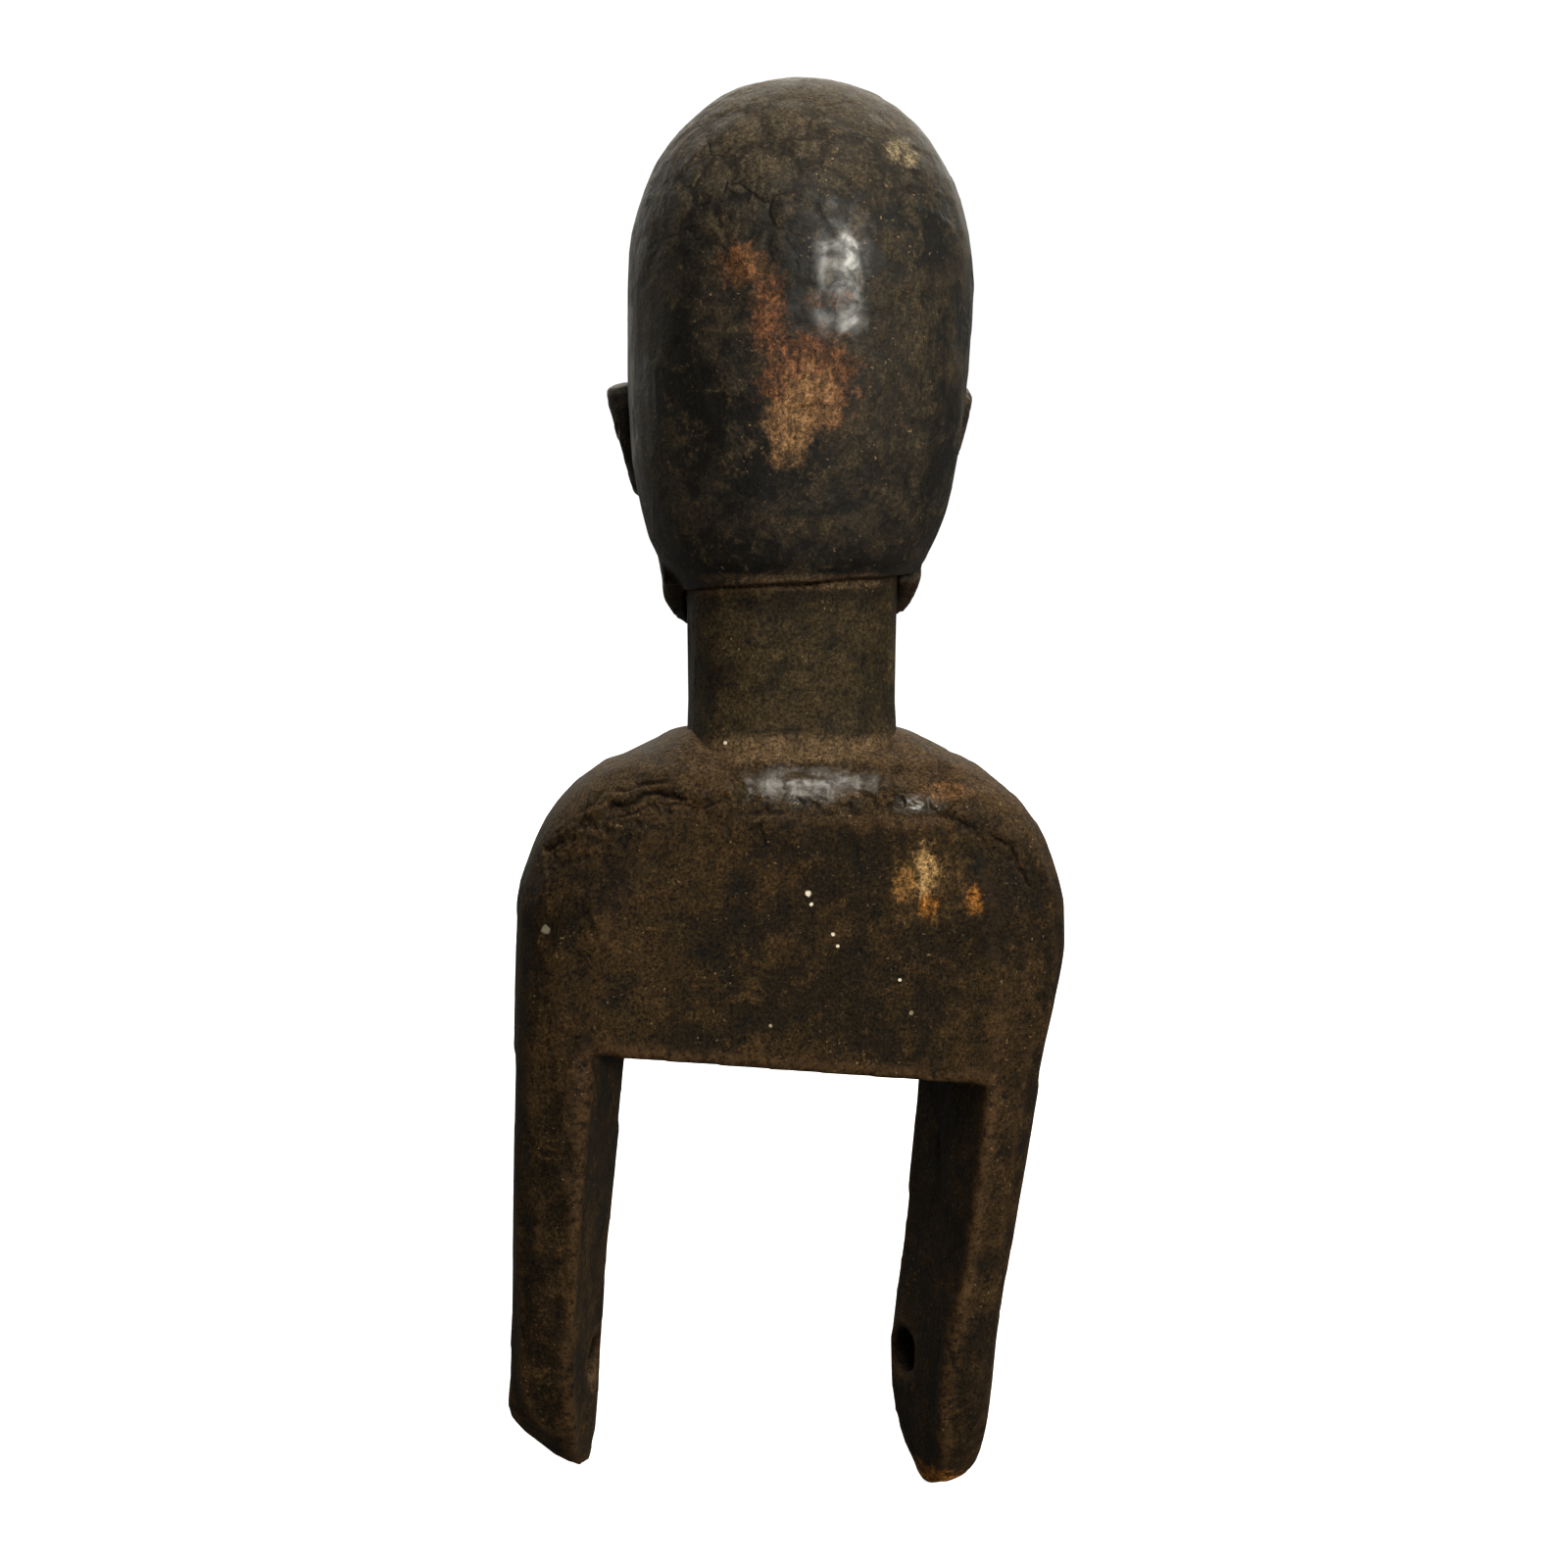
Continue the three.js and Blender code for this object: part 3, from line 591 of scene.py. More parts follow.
def build_wear(net, given):
    """How far rubbing has broken the crust, the same on rubbed edges only, and the mottle of the wood laid bare."""
    place = given["Place"]
    broken = net.ramp(noise(net, place, 0.9, 5.0, 0.78), 0.38, 0.62)
    rubbed = net.math("MULTIPLY", given["Edge"], net.math("MULTIPLY", broken, given["Amount"]))
    upright = net.vector("MULTIPLY", place, (1.0, 1.0, 0.45))
    mottle = net.ramp(noise(net, upright, 1.2, 4.0, 0.65), 0.38, 0.62, 0.5, 1.3)
    return {"Broken": broken, "Rubbed": rubbed, "Mottle": mottle}


def build_dust(net, given):
    """Uneven dust on what faces up, in hollows and in chosen spots."""
    patchy = net.ramp(noise(net, given["Place"], 0.55, 5.0, 0.7), 0.34, 0.62, 0.25, 1.0)
    on_top = net.math("MULTIPLY", given["Upward"], given["Amount"])
    settled = net.math("MAXIMUM", on_top, net.math("MULTIPLY", given["Hollow"], given["Hollow Amount"]))
    settled = net.math("MAXIMUM", settled, given["Spots"])
    return {"Settled": net.math("MULTIPLY", settled, patchy)}


def build_polish(net, given):
    """Islands where hands have polished the crust: strong in the polished spots, and a little of them anywhere."""
    islands = net.ramp(noise(net, given["Place"], 0.45, 5.0, 0.62, 0.6), 0.38, 0.66, 0.25, 1.0)
    strong = net.math("MULTIPLY", given["Spots"], islands)
    return {"Gloss": net.math("ADD", strong, net.math("MULTIPLY", islands, given["Everywhere"]))}


# %% Build the effects
PLACE = ("Place", "v", (0, 0, 0))
MILLIMETRES = effect("Millimetres", [], [("Place", "v")], build_millimetres)
CRUST = effect(
    "Crust",
    [PLACE, ("Dark", "c", colour(22, 18, 13)), ("Brown", "c", colour(58, 44, 30)),
     ("Light", "c", colour(90, 72, 50)), ("Light Amount", "f", 0.6), ("Black", "c", colour(12, 11, 10))],
    [("Color", "c"), ("Height", "f"), ("Tone", "f")],
    build_crust,
)
GRIT = effect("Grit", [PLACE], [("Shade", "f"), ("Tan", "f"), ("Height", "f")], build_grit)
FIBRE = effect("Fibre", [PLACE], [("Streak", "f"), ("Pore", "f"), ("Height", "f")], build_fibre)
CRACKLE = effect("Crackle", [PLACE, ("Scale", "f", 0.19), ("Width", "f", 0.2)], [("Lines", "f"), ("Cobble", "f")],
                 build_crackle)
SCRATCHES = effect("Scratches", [PLACE, ("Turn", "v", (0, 0.5, 0))], [("Lines", "f")], build_scratches)
PATCH = effect(
    "Patch",
    [PLACE, ("Centre", "v", (0, 0, 0)), ("Reach", "v", (1, 1, 1)), ("Ragged", "f", 1.2), ("Grain", "f", 0.5),
     ("Fade", "f", 0.5)],
    [("Mask", "f")],
    build_patch,
)
WEAR = effect("Edge wear", [PLACE, ("Edge", "f", 0.0), ("Amount", "f", 0.42)],
              [("Broken", "f"), ("Rubbed", "f"), ("Mottle", "f")], build_wear)
SETTLED_DUST = effect(
    "Dust",
    [PLACE, ("Upward", "f", 0.0), ("Amount", "f", 0.4), ("Hollow", "f", 0.0), ("Hollow Amount", "f", 0.5),
     ("Spots", "f", 0.0)],
    [("Settled", "f")],
    build_dust,
)
POLISH = effect("Polish", [PLACE, ("Spots", "f", 0.0), ("Everywhere", "f", 0.0)], [("Gloss", "f")], build_polish)
EFFECTS = (CRUST, GRIT, FIBRE, CRACKLE, SCRATCHES, PATCH, WEAR, SETTLED_DUST, POLISH)
print("effects:", [group.name for group in EFFECTS])

# %% [markdown]
# ## One recipe, three woods
#
# Every part has the same layers, in the order in which they came: wood, crust, grit, wear, dust. What differs is
# how much of each there is. So one function lays the nodes, and three sets of values make the head's handled
# wood, the neck's rubbed wood and the crusted wood of the yoke and arms. A patch has a centre, a reach on each
# axis, a colour and a strength.

# %% Placing effects in a material
class WoodNet(Net):
    """A material's node tree that can place the effects."""

    def use(self, group, **inputs):
        """Places a group and gives back its outputs. An underscore in an input's name stands for a space."""
        named = {key.replace("_", " "): value for key, value in inputs.items()}
        node = self.add("ShaderNodeGroup", node_tree=group)
        for key, value in named.items():
            socket = node.inputs[key]
            if isinstance(value, bpy.types.NodeSocket):
                self.tree.links.new(value, socket)
            else:
                socket.default_value = value
        return node.outputs

    def spots(self, place, spots, **settings):
        """One mask for several spots, each a centre and a reach on each axis."""
        total = 0.0
        for centre, reach in spots:
            mask = self.use(PATCH, Place=place, Centre=centre, Reach=reach, **settings)["Mask"]
            total = self.math("MAXIMUM", total, mask)
        return total

    def stored(self, name):
        """A value that is stored on the piece's points."""
        return self.add("ShaderNodeAttribute", attribute_name=name).outputs["Fac"]


# %% Paints
RUST = colour(98, 62, 38)
TAN = colour(116, 86, 56)
STRAW = colour(158, 126, 82)
AMBER = colour(136, 88, 38)
PALE = colour(205, 196, 176)
DUST = colour(86, 69, 50)
PORE = colour(14, 11, 8)
RUBBED_EDGE = colour(88, 64, 42)
CRACKLE_LINE = colour(7, 6, 5)
# Painted shade for the inside of cracks and pits.
CRACK_SHADE = colour(8, 6, 5)
GRAIN_OF_SAND = colour(142, 118, 84)
SCRATCH = colour(120, 102, 80)
# Painted shade for the inside of the axle holes.
HOLE_SHADE = colour(4, 3, 3)
BARE_ROUGHNESS = 0.66
COAT_ROUGHNESS = 0.32


# %% Wood materials
def wood(name, dark, brown, light, light_amount, gloss, shine, sheen, relief, grain, dust_amount, dusty_spots,
         crackle, polish, patches, marks, hole_shades=()):
    """The recipe. gloss is the crust's roughness where it is smoothest, shine its specular level, sheen the polish
    that is everywhere, relief the height of the bumps in millimetres, and grain the strength of the fine grit."""
    material = bpy.data.materials.new(name)
    material.use_nodes = True
    material.node_tree.nodes.clear()
    net = WoodNet(material.node_tree)

    place = net.use(MILLIMETRES)["Place"]
    crust = net.use(CRUST, Place=place, Dark=dark, Brown=brown, Light=light, Light_Amount=light_amount)
    grit = net.use(GRIT, Place=place)
    fibre = net.use(FIBRE, Place=place)
    scratch = net.use(SCRATCHES, Place=place)["Lines"]
    wear = net.use(WEAR, Place=place, Edge=net.stored("edge"))
    dusty = net.spots(place, dusty_spots, Ragged=0.9, Grain=0.5, Fade=0.6)
    settled = net.use(SETTLED_DUST, Place=place, Upward=net.stored("upward"), Amount=dust_amount,
                      Hollow=net.stored("hollow"), Spots=dusty)["Settled"]
    lines = cobble = 0.0
    if crackle:
        cracked = net.spots(place, crackle, Ragged=0.6, Grain=0.2, Fade=0.6)
        crackled = net.use(CRACKLE, Place=place)
        lines = net.math("MULTIPLY", crackled["Lines"], cracked)
        cobble = net.math("MULTIPLY", crackled["Cobble"], cracked)

    # Colour, from the crust up to the last pale mark. Where a wood has no crackle, its share is simply zero.
    shade = net.math("ADD", net.math("MULTIPLY", net.math("SUBTRACT", grit["Shade"], 1.0), grain), 1.0)
    tone = net.vector("SCALE", crust["Color"], scale=shade)
    tone = blend(net, net.math("MULTIPLY", fibre["Pore"], 0.45), tone, PORE)
    tone = blend(net, wear["Rubbed"], tone, RUBBED_EDGE)
    streak = net.math("ADD", net.math("MULTIPLY", fibre["Streak"], 0.35), 0.8)
    ragged = net.math("ADD", wear["Broken"], 0.35, clamp=True)
    bare = 0.0
    for centre, reach, paint, strength in patches:
        mask = net.use(PATCH, Place=place, Centre=centre, Reach=reach, Ragged=2.0, Grain=0.7)["Mask"]
        mask = net.math("MULTIPLY", mask, net.math("MULTIPLY", ragged, strength))
        fresh = net.vector("SCALE", paint[:3], scale=streak)
        fresh = net.vector("SCALE", fresh, scale=net.math("MULTIPLY", shade, wear["Mottle"]))
        tone = blend(net, mask, tone, fresh)
        bare = net.math("MAXIMUM", bare, mask)
    tone = blend(net, net.math("MULTIPLY", lines, 0.95), tone, CRACKLE_LINE)
    # Painted shade: the cracks and pits of the yoke are painted near black.
    tone = blend(net, net.math("MULTIPLY", net.stored("crack_shade"), 0.9), tone, CRACK_SHADE)
    tone = blend(net, settled, tone, net.vector("SCALE", DUST[:3], scale=shade))
    tone = blend(net, net.math("MULTIPLY", grit["Tan"], 0.6), tone, GRAIN_OF_SAND)
    tone = blend(net, net.math("MULTIPLY", scratch, 0.3), tone, SCRATCH)
    # Painted shade: the insides of the axle holes are painted near black.
    tone = blend(net, net.spots(place, hole_shades, Ragged=0.3, Grain=0.5, Fade=0.3), tone, HOLE_SHADE)
    for centre, size, paint in marks:
        settings = {"Centre": centre, "Reach": (size, 1.5, size), "Ragged": 1.6, "Grain": 1.4, "Fade": 0.3}
        tone = blend(net, net.use(PATCH, Place=place, **settings)["Mask"], tone, paint)

    # Roughness and relief, and a coat where the wood is polished.
    rough = net.ramp(crust["Tone"], 0.42, 0.58, gloss, gloss + 0.14)
    rough = net.math("MAXIMUM", rough, net.math("MULTIPLY", bare, BARE_ROUGHNESS))
    rough = net.math("ADD", rough, net.math("MULTIPLY", settled, 0.3), clamp=True)
    height = net.math("ADD", crust["Height"], net.math("ADD", fibre["Height"], grit["Height"]))
    height = net.math("ADD", height, net.math("MULTIPLY", cobble, 0.32))
    height = net.math("SUBTRACT", height, net.math("MULTIPLY", lines, 0.08))
    height = net.math("SUBTRACT", height, net.math("MULTIPLY", bare, 0.05))
    bump = net.add("ShaderNodeBump", {"Strength": 1.0, "Distance": relief * MM, "Height": height}).outputs[0]
    finish = {"Base Color": tone, "Roughness": rough, "Normal": bump, "Specular IOR Level": shine}
    if polish:
        polished = net.spots(place, polish, Ragged=1.3, Grain=0.3, Fade=0.8)
        coat = net.use(POLISH, Place=place, Spots=polished, Everywhere=sheen)["Gloss"]
        clean = net.math("SUBTRACT", 1.0, net.math("MAXIMUM", bare, settled))
        finish["Coat Weight"] = net.math("MULTIPLY", coat, clean, clamp=True)
        finish["Coat Roughness"] = COAT_ROUGHNESS
    shader = net.add("ShaderNodeBsdfPrincipled", finish)
    net.add("ShaderNodeOutputMaterial", {"Surface": shader.outputs[0]})
    print(name, "has", len(net.tree.nodes), "nodes")
    return material


# %% Three woods
handled_wood = wood(
    "handled wood", dark=colour(14, 12, 9), brown=colour(38, 32, 23), light=colour(74, 60, 41), light_amount=0.6,
    gloss=0.58, shine=0.16, sheen=0.05, relief=1.3, grain=1.0, dust_amount=0.3,
    dusty_spots=[((-1.3, 14, 125.6), (17, 6, 1))],
    crackle=[((3, 12, 174), (26, 22, 17)), ((-6, 24, 162), (8, 7, 11))],
    polish=[((-5.5, 24, 165), (6, 7, 7)), ((-4.5, 24, 158), (6.5, 7, 4.5))],
    patches=[
        ((2, 12, 180), (21, 22, 13), colour(70, 61, 47), 0.6), ((-12, 20, 150), (9, 9, 14), colour(66, 54, 38), 0.3),
        ((-1.8, 23.5, 149.8), (6.2, 6, 7), RUST, 0.95), ((0.8, 23.2, 143.8), (3.2, 6, 4.6), TAN, 0.95),
        ((-2.2, 23.5, 147.5), (3.8, 6, 4.6), TAN, 0.8), ((3.2, 23.3, 158.5), (2.4, 6, 5.6), RUST, 0.85),
        ((6.4, 23, 163.8), (3.4, 6, 3), colour(100, 66, 40), 0.85),
        ((-4.5, 23.5, 159.4), (3.6, 6, 1.4), RUST, 0.5),
        ((-13.8, 17.7, 178.2), (2.6, 4, 2.2), colour(138, 122, 90), 0.75),
    ],
    marks=[],
)
rubbed_wood = wood(
    "rubbed wood", dark=colour(31, 25, 15), brown=colour(46, 37, 23), light=colour(70, 56, 35), light_amount=0.4,
    gloss=0.62, shine=0.08, sheen=0.0, relief=1.6, grain=1.1, dust_amount=0.4,
    dusty_spots=[((-1.3, 10, 103.8), (18, 18, 2.2)), ((-1.3, 14, 125), (16, 6, 1))],
    crackle=[], polish=[], patches=[], marks=[((8, 12.6, 104.6), 0.26, PALE)],
)
crusted_wood = wood(
    "crusted wood", dark=colour(26, 19, 10), brown=colour(42, 31, 17), light=colour(74, 54, 30), light_amount=0.45,
    gloss=0.62, shine=0.06, sheen=0.0, relief=1.8, grain=1.2, dust_amount=0.5,
    dusty_spots=[((-1.3, 8, 103.5), (19, 19, 2))],
    crackle=[], polish=[((-2.8, 17, 99.4), (11.5, 4, 2.6)), ((-16.5, 16.4, 97), (4, 4, 1.5))],
    # Painted shade inside the two axle holes.
    hole_shades=[((34, 3.8, 20), (10, 3.9, 3.9)), ((-22, 3.8, 20), (13, 3.9, 3.9))],
    patches=[
        ((-18, 19, 87), (6, 3, 6.5), colour(74, 56, 32), 0.6),
        ((-17.3, 19, 88.4), (1.8, 3, 4.0), STRAW, 0.85), ((-14.6, 19, 87), (1.8, 3, 2.8), colour(122, 88, 48), 0.8),
        ((-17.6, 19, 84.1), (1.4, 3, 1.8), AMBER, 1.0), ((-23.6, 18.6, 84.8), (1.4, 3, 2.2), AMBER, 0.75),
        ((-19.8, 17, 98.4), (3.6, 4, 1.3), colour(112, 80, 52), 0.7),
        ((-21.4, 5, 1.4), (3.6, 9, 4.6), colour(180, 118, 54), 1.0),
    ],
    marks=[((-2.2, 18.6, 85.8), 0.45, PALE), ((-2.6, 18.6, 84.4), 0.26, PALE), ((-5.4, 18.6, 80.5), 0.28, PALE),
           ((-6, 18.6, 79), 0.22, PALE), ((31.2, 16.2, 81.1), 0.6, colour(112, 104, 90)),
           ((-14, 18.6, 74.5), 0.24, PALE), ((-15.5, 18.6, 70.2), 0.3, colour(132, 120, 96)),
           ((2.6, 18.6, 68.8), 0.24, colour(140, 128, 104)), ((-2, 14.4, 103.6), 0.26, PALE)],
)

# %% [markdown]
# ## Cutting the facets
#
# The head was cut with broad, short strokes and then handled smooth. The neck and the arms were pared in long
# strokes from top to bottom, and the ears with the tip of the knife. The same tree cuts them all, so only its
# inputs differ from piece to piece. A little smoothing afterwards takes off the burr.

# %% Cut the facets
CUTS = {"Flatness": 0.7, "Deepest Cut": 0.35 * MM}
facet_plan = [
    (head, handled_wood, {"Stroke Width": 6.5 * MM, "Stroke Length": 1.5, "Flatness": 0.45, "Seed": 0.31,
                          "Wear": 0.22 * MM}),
    (left_ear, handled_wood, {"Stroke Width": 2.5 * MM, "Seed": 0.52, "Wear": 0.12 * MM}),
    (right_ear, handled_wood, {"Stroke Width": 2.5 * MM, "Seed": 0.57, "Wear": 0.12 * MM}),
    (neck, rubbed_wood, {"Stroke Width": 6 * MM, "Stroke Length": 3.0, "Flatness": 0.4, "Seed": 0.11,
                         "Wear": 0.2 * MM}),
    (fork, crusted_wood, {"Stroke Width": 6 * MM, "Stroke Length": 2.6, "Flatness": 0.45, "Seed": 0.73,
                          "Wear": 0.25 * MM}),
]
for piece, material, sizes in facet_plan:
    carve_facets(piece, material, **{**CUTS, **sizes})
    relax(piece, 2)
    print(piece.name, "carved,", material.name)

# %% [markdown]
# ## The shoulders and the back panel
#
# The flat panel across the back ends under the shoulders at a ragged ridge, where the crust has chipped away. A
# polished chamfer runs along the middle of it, and cracks run beside it. These are one-off events, so their lines
# are listed one by one. The mesh is first made finer along them, because a crack has to be several points wide.

# %% The lines of the ridge and the cracks
RIDGE = [(31.5, 85), (30.8, 90.6), (28.2, 92.9), (25.7, 95.4), (22.2, 97.2), (17.4, 98.8), (13.6, 98.0),
         (7, 98.4), (1, 97.9), (-6, 98.3), (-14.4, 98.4), (-19.3, 96.6), (-24.4, 94), (-28.6, 91), (-30.7, 87.3),
         (-32.1, 82)]
CRACKS = [  # corners, depth and half width
    ([(30.8, 90.6), (28.4, 92.6), (26.6, 94.9), (24.4, 95.4), (22.2, 97.2), (17.4, 98.8), (13.6, 98)], 0.4, 0.26),
    ([(29.6, 93.2), (27.4, 95.8), (25.2, 96.9), (23.8, 98.6), (20.4, 99.4), (15.5, 100.1)], 0.36, 0.24),
    ([(25.6, 94.6), (22.0, 95.6), (18.2, 96.9), (14.5, 97.5), (9, 97.4)], 0.24, 0.18),
    ([(-21.5, 95.6), (-24.2, 93.6), (-28.6, 90.6), (-31, 86.4)], 0.3, 0.24),
    ([(26.6, 94.9), (26.2, 97.4)], 0.25, 0.18),
    ([(3.4, 96.8), (3.9, 94.6), (3.1, 92.2)], 0.2, 0.18),
]


def near_lines(points, reach):
    """True for points on the back of the yoke within reach of the ridge or of a crack."""
    flat = points[:, [0, 2]]
    away = np.minimum.reduce([distance_to_line(flat, line) for line in [RIDGE] + [crack[0] for crack in CRACKS]])
    return (away < reach) & (points[:, 1] > 9)


def refine(piece, chosen):
    """Splits every edge whose two ends are chosen, so the mesh there is twice as fine."""
    shape = bmesh.new()
    shape.from_mesh(piece.data)
    shape.verts.ensure_lookup_table()
    edges = [edge for edge in shape.edges if chosen[edge.verts[0].index] and chosen[edge.verts[1].index]]
    bmesh.ops.subdivide_edges(shape, edges=edges, cuts=1, use_grid_fill=True)
    shape.to_mesh(piece.data)
    shape.free()


for reach in (3.2, 1.1):
    refine(fork, near_lines(points_of(fork), reach))
print("yoke refined to", len(fork.data.vertices), "points")


# %% Chip, crack and chamfer the yoke
CHAMFERS = [  # a point on the cut, its direction, and where it starts and stops from right to left
    ((0, 16.9, 98.5), (0.0, 0.874, 0.486), -12.6, 6.6),
    ((-16, 16.5, 97.1), (-0.26, 0.86, 0.44), -21.5, -12.8),
]
STROKE = 6.6


CHAMFER_DEEPEST = 1.2
CHAMFER_FADE = 1.2


def chamfer(points, behind):
    """The points after the chamfers are cut, and a mask of the cuts. Each knife stroke leaves a shallow arc."""
    mask = np.zeros(len(points))
    for start, way, right_end, left_end in CHAMFERS:
        way = np.array(way) / np.linalg.norm(way)
        x = points[:, 0] + 0.5 * waves(points, 4, 6)
        inside = step_up(right_end - CHAMFER_FADE, right_end + CHAMFER_FADE, x)
        inside = inside * (1 - step_up(left_end - CHAMFER_FADE, left_end + CHAMFER_FADE, x))
        arcs = 0.3 * np.abs(np.sin(math.pi * points[:, 0] / STROKE + 0.5))
        over = (points - np.array(start)) @ way - arcs
        cut = np.clip(over, 0, CHAMFER_DEEPEST) * inside * behind * step_up(94.5, 96, points[:, 2])
        points = points - cut[:, None] * way
        mask = np.maximum(mask, inside)
    return points, mask


def work_yoke(piece):
    """The yoke's points after chamfer, ridge, cracks and pits, and a mask of painted shade for the cracks and pits.
    """
    points, normals = points_of(piece), normals_of(piece)
    flat = points[:, [0, 2]] + 0.45 * np.stack([waves(points, 7, 1), waves(points, 6, 2)], axis=1)
    flat += 0.1 * np.stack([waves(points, 1.8, 12), waves(points, 1.5, 13)], axis=1)
    behind = step_up(9, 13, points[:, 1])
    points, middle = chamfer(points, behind)

    corners = np.array(RIDGE)[::-1]
    off = distance_to_line(flat, RIDGE)
    under = np.where(flat[:, 1] < np.interp(flat[:, 0], corners[:, 0], corners[:, 1]), off, -off)
    ragged = step_up(0.1, 0.9, waves(points, 4.6, 3))
    upper = step_up(84, 91, points[:, 2]) * behind
    left = step_up(6, 12, points[:, 0])
    right = 1 - step_up(-20, -14, points[:, 0])
    depth = -(0.1 + 0.2 * right + 0.3 * left) * step_up(-0.3, 0.3, under) * (1 - step_up(5, 16, under)) * upper
    depth -= (0.08 + 0.1 * left) * ragged * np.exp(-((off / 1.1) ** 2)) * upper * (1 - middle)
    depth += 0.16 * left * np.exp(-(((under + 1.0) / 0.8) ** 2)) * upper
    # A mask of painted shade for the cracks and pits, which the material paints near black.
    crack_shade = np.zeros(len(points))
    for line, deep, wide in CRACKS:
        inside = np.exp(-((distance_to_line(flat, line) / wide) ** 2)) * behind
        inside *= step_up(-1.0, 0.3, waves(points, 5, 4))
        depth -= deep * inside
        crack_shade = np.maximum(crack_shade, inside)
    crumbled = np.exp(-(((under - 1.6) / 2.2) ** 2)) * upper
    pits = step_up(0.2, 1.1, waves(points, 1.7, 11)) * crumbled
    depth -= 0.28 * pits
    depth += 0.08 * waves(points, 1.1, 8) * waves(points, 1.6, 9) * crumbled
    crack_shade = np.maximum(crack_shade, 0.55 * pits)
    return points + depth[:, None] * normals, crack_shade


# The second result is a mask of painted shade for the cracks and pits, stored on the points for the material.
worked, crack_shade = work_yoke(fork)
move_points(fork, worked)
layer = fork.data.attributes.new("crack_shade", "FLOAT", "POINT")
layer.data.foreach_set("value", crack_shade.astype(np.float32))
print("deepest split", round(float(crack_shade.max()), 2))

# %% [markdown]
# ## Edges, hollows and upward faces
#
# Hands rub the crust off edges, and dust stays in hollows and on what faces up. Blender's pointiness only exists
# while rendering, so the curvature is measured here and stored on the points, with how far each faces up, as
# attributes that the materials read.

# %% Measure curvature
def mark_surface(piece, rounds=6, full=0.1):
    """Stores edge, hollow and upward, from 0 to 1. full is the bend, in mm, that counts as a whole edge."""
    mean = neighbour_mean(piece.data)
    points, normals = points_of(piece), normals_of(piece)
    spread = points.copy()
    for _ in range(rounds):
        spread = mean(spread)
    bend = np.sum((points - spread) * normals, axis=1)
    up = normals[:, 2]
    for _ in range(3):
        bend, up = mean(bend), mean(up)
    marks = {"edge": bend / full - 0.35, "hollow": -bend / full - 0.3, "upward": (up - 0.25) / 0.6}
    for name, value in marks.items():
        layer = piece.data.attributes.new(name, "FLOAT", "POINT")
        layer.data.foreach_set("value", np.clip(value, 0, 1).astype(np.float32))
    return bend


for piece in pieces:
    piece.data.shade_smooth()
    bend = mark_surface(piece)
    piece.data.calc_loop_triangles()
    print(piece.name, len(piece.data.loop_triangles), "triangles, bend", round(bend.min(), 2), round(bend.max(), 2))

# %% [markdown]
# ## The pieces on the body
#
# Every piece rides on the one rigid body, and the CAD regions that it replaces are hidden.

# %% Ride and replace
for piece in pieces:
    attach(piece, "root")
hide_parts("skull", "face")
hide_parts("left_ear")
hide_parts("right_ear")
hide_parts("neck")
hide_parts("shoulder_yoke", "left_arm", "right_arm")

# %% [markdown]
# ## Floor and light
#
# Dark wood shows its form by what it reflects. A soft box behind the carving and a little to its right gives the
# broken highlight on the head, and leaves its left side dark. One higher up lights the shoulders and the chamfer.
# Three more serve the front and the sides. The floor and the world look white but throw little light back, as in
# a studio with black cloth round the table.

# %% Floor
FLOOR_RADIUS = 8
SEEN_NEAR, SEEN_FAR = 0.86, 1.1

floor_mesh = bpy.data.meshes.new("floor")
shape = bmesh.new()
bmesh.ops.create_circle(shape, cap_ends=True, segments=96, radius=FLOOR_RADIUS)
shape.to_mesh(floor_mesh)
shape.free()
floor = bpy.data.objects.new("floor", floor_mesh)
scene.collection.objects.link(floor)
paper = bpy.data.materials.new("white paper")
paper.use_nodes = True
paper.node_tree.nodes.clear()
net = Net(paper.node_tree)
seen = net.add("ShaderNodeLightPath").outputs["Is Camera Ray"]
near = net.vector("LENGTH", net.add("ShaderNodeTexCoord").outputs["Object"])
glow = net.ramp(near, 0.06, 0.2, SEEN_NEAR, SEEN_FAR)
lit = net.add("ShaderNodeBsdfDiffuse", {"Color": (0.5, 0.5, 0.5, 1)}).outputs[0]
shining = net.add("ShaderNodeEmission", {"Color": (1, 1, 1, 1), "Strength": glow}).outputs[0]
shown = net.add("ShaderNodeAddShader", {0: lit, 1: shining}).outputs[0]
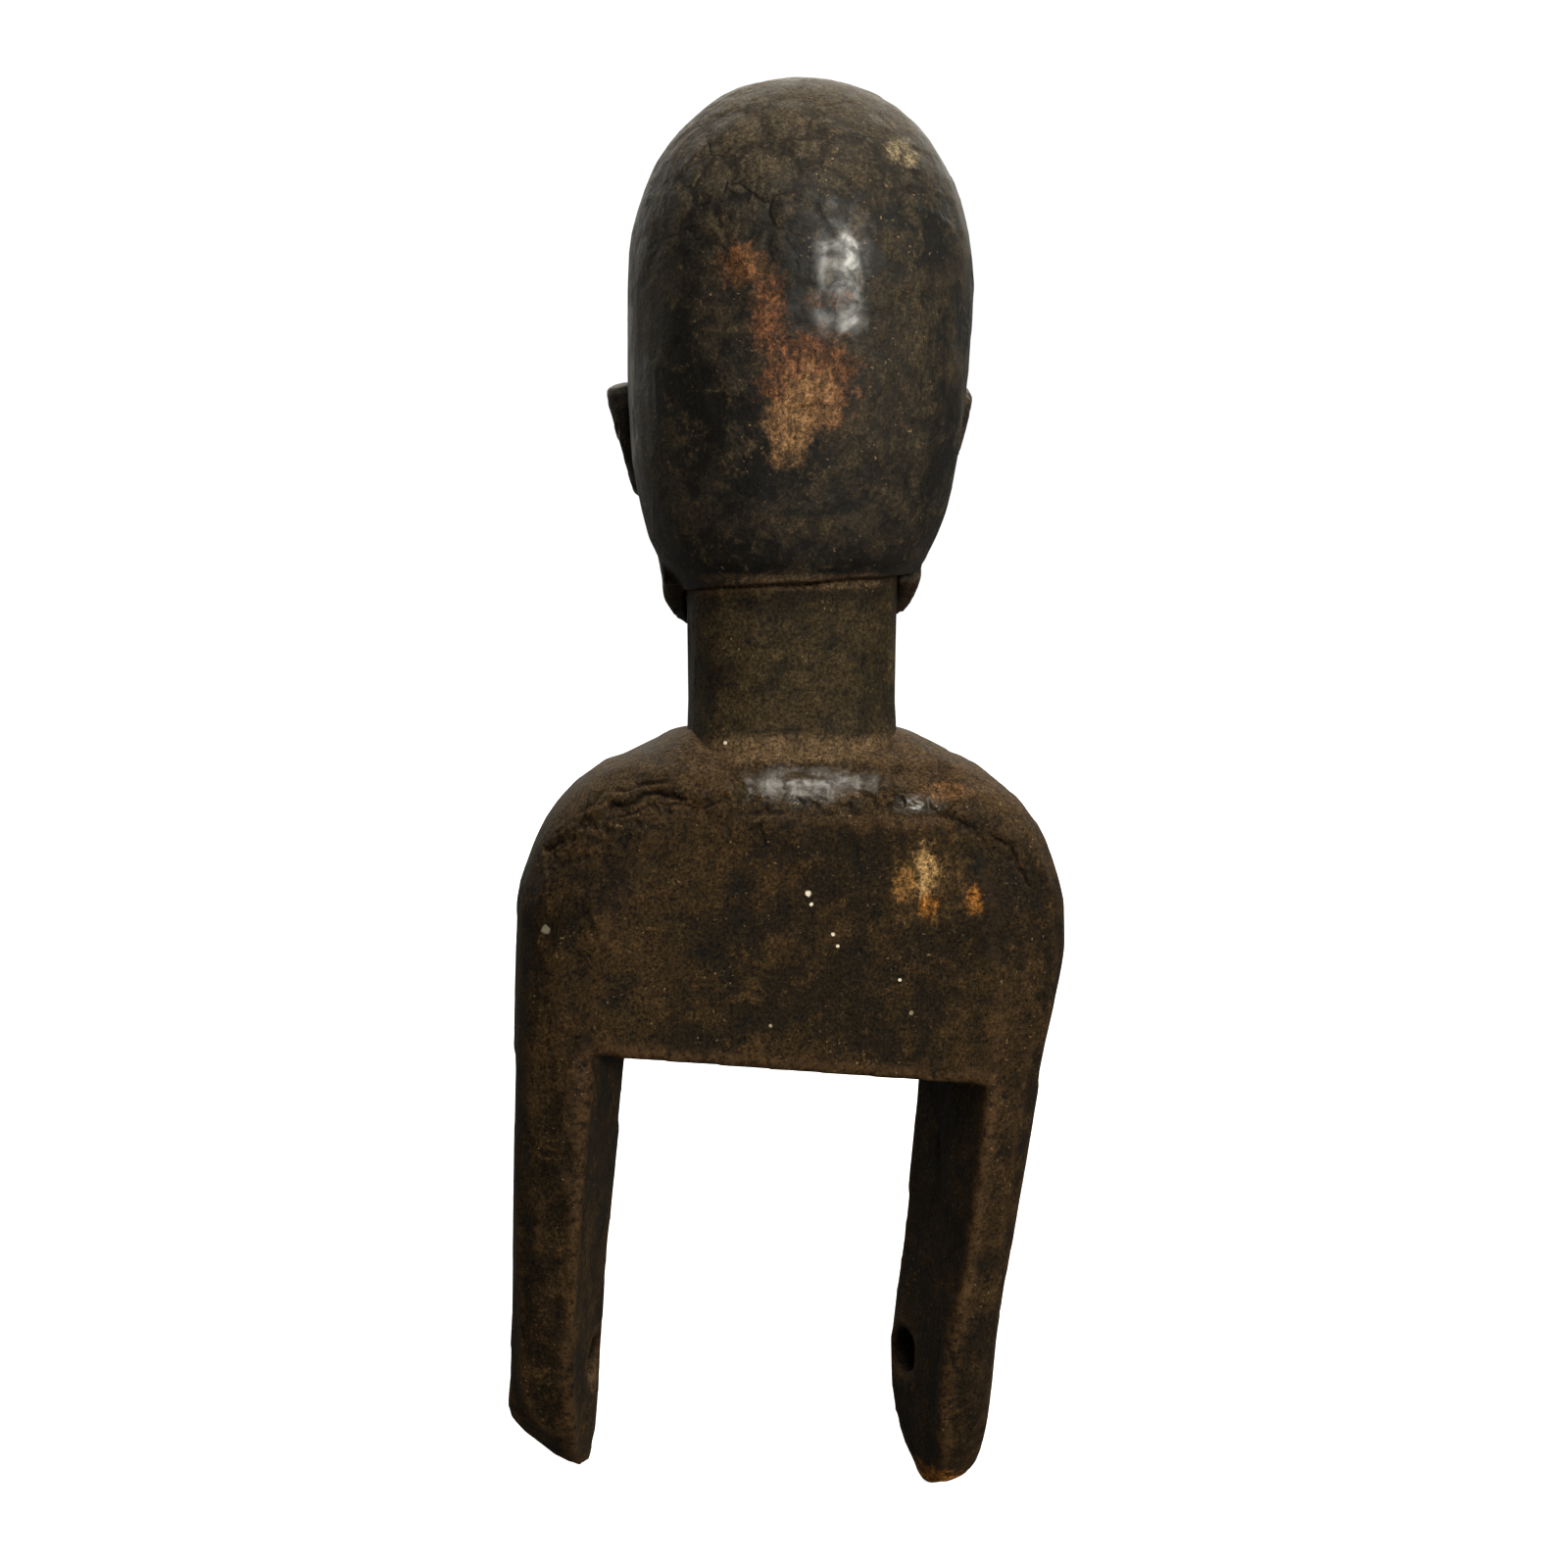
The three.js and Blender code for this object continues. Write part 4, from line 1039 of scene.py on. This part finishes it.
bounced = net.add("ShaderNodeBsdfDiffuse", {"Color": (0.12, 0.12, 0.12, 1)}).outputs[0]
mixed = net.add("ShaderNodeMixShader", {0: seen, 1: bounced, 2: shown}).outputs[0]
net.add("ShaderNodeOutputMaterial", {"Surface": mixed})
floor_mesh.materials.append(paper)
print("floor is", 2 * FLOOR_RADIUS, "m across")

# %% Lights
LAMP_COLOUR = (1.0, 0.965, 0.86)


def soft_box(name, azimuth, elevation, distance, size, watts, aim):
    data = bpy.data.lights.new(name, "AREA")
    data.shape = "SQUARE"
    data.size = size
    data.energy = watts
    data.color = LAMP_COLOUR
    lamp = bpy.data.objects.new(name, data)
    scene.collection.objects.link(lamp)
    lamp.location = look_from(azimuth, elevation, distance, aim)
    lamp.rotation_euler = (aim - lamp.location).to_track_quat("-Z", "Y").to_euler()


head_middle = (Vector(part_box("skull")[0]) + Vector(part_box("skull")[1])) / 2
LAMPS = [  # name, azimuth, elevation, distance and size in metres, watts, and what it is aimed at
    ("key", 200, 12, 0.9, 0.15, 7.5, head_middle),
    ("high back", 190, 52, 0.9, 0.3, 6.2, middle),
    ("right side", 250, 15, 1.0, 0.8, 3.4, middle),
    ("front", 342, 42, 1.1, 1.1, 19, middle),
    ("left side", 30, 30, 1.1, 1.2, 7, middle),
]
for lamp in LAMPS:
    soft_box(*lamp)
print("lamps:", [lamp[0] for lamp in LAMPS])

# %% World
world = bpy.data.worlds.new("studio")
scene.world = world
world.use_nodes = True
world.node_tree.nodes.clear()
net = Net(world.node_tree)
seen = net.add("ShaderNodeLightPath").outputs["Is Camera Ray"]
bright = net.add("ShaderNodeBackground", {"Color": (1, 1, 1, 1), "Strength": 1.05}).outputs[0]
dim = net.add("ShaderNodeBackground", {"Color": (1, 1, 1, 1), "Strength": 0.05}).outputs[0]
mixed = net.add("ShaderNodeMixShader", {0: seen, 1: dim, 2: bright}).outputs[0]
net.add("ShaderNodeOutputWorld", {"Surface": mixed})
scene.view_settings.view_transform = "Standard"
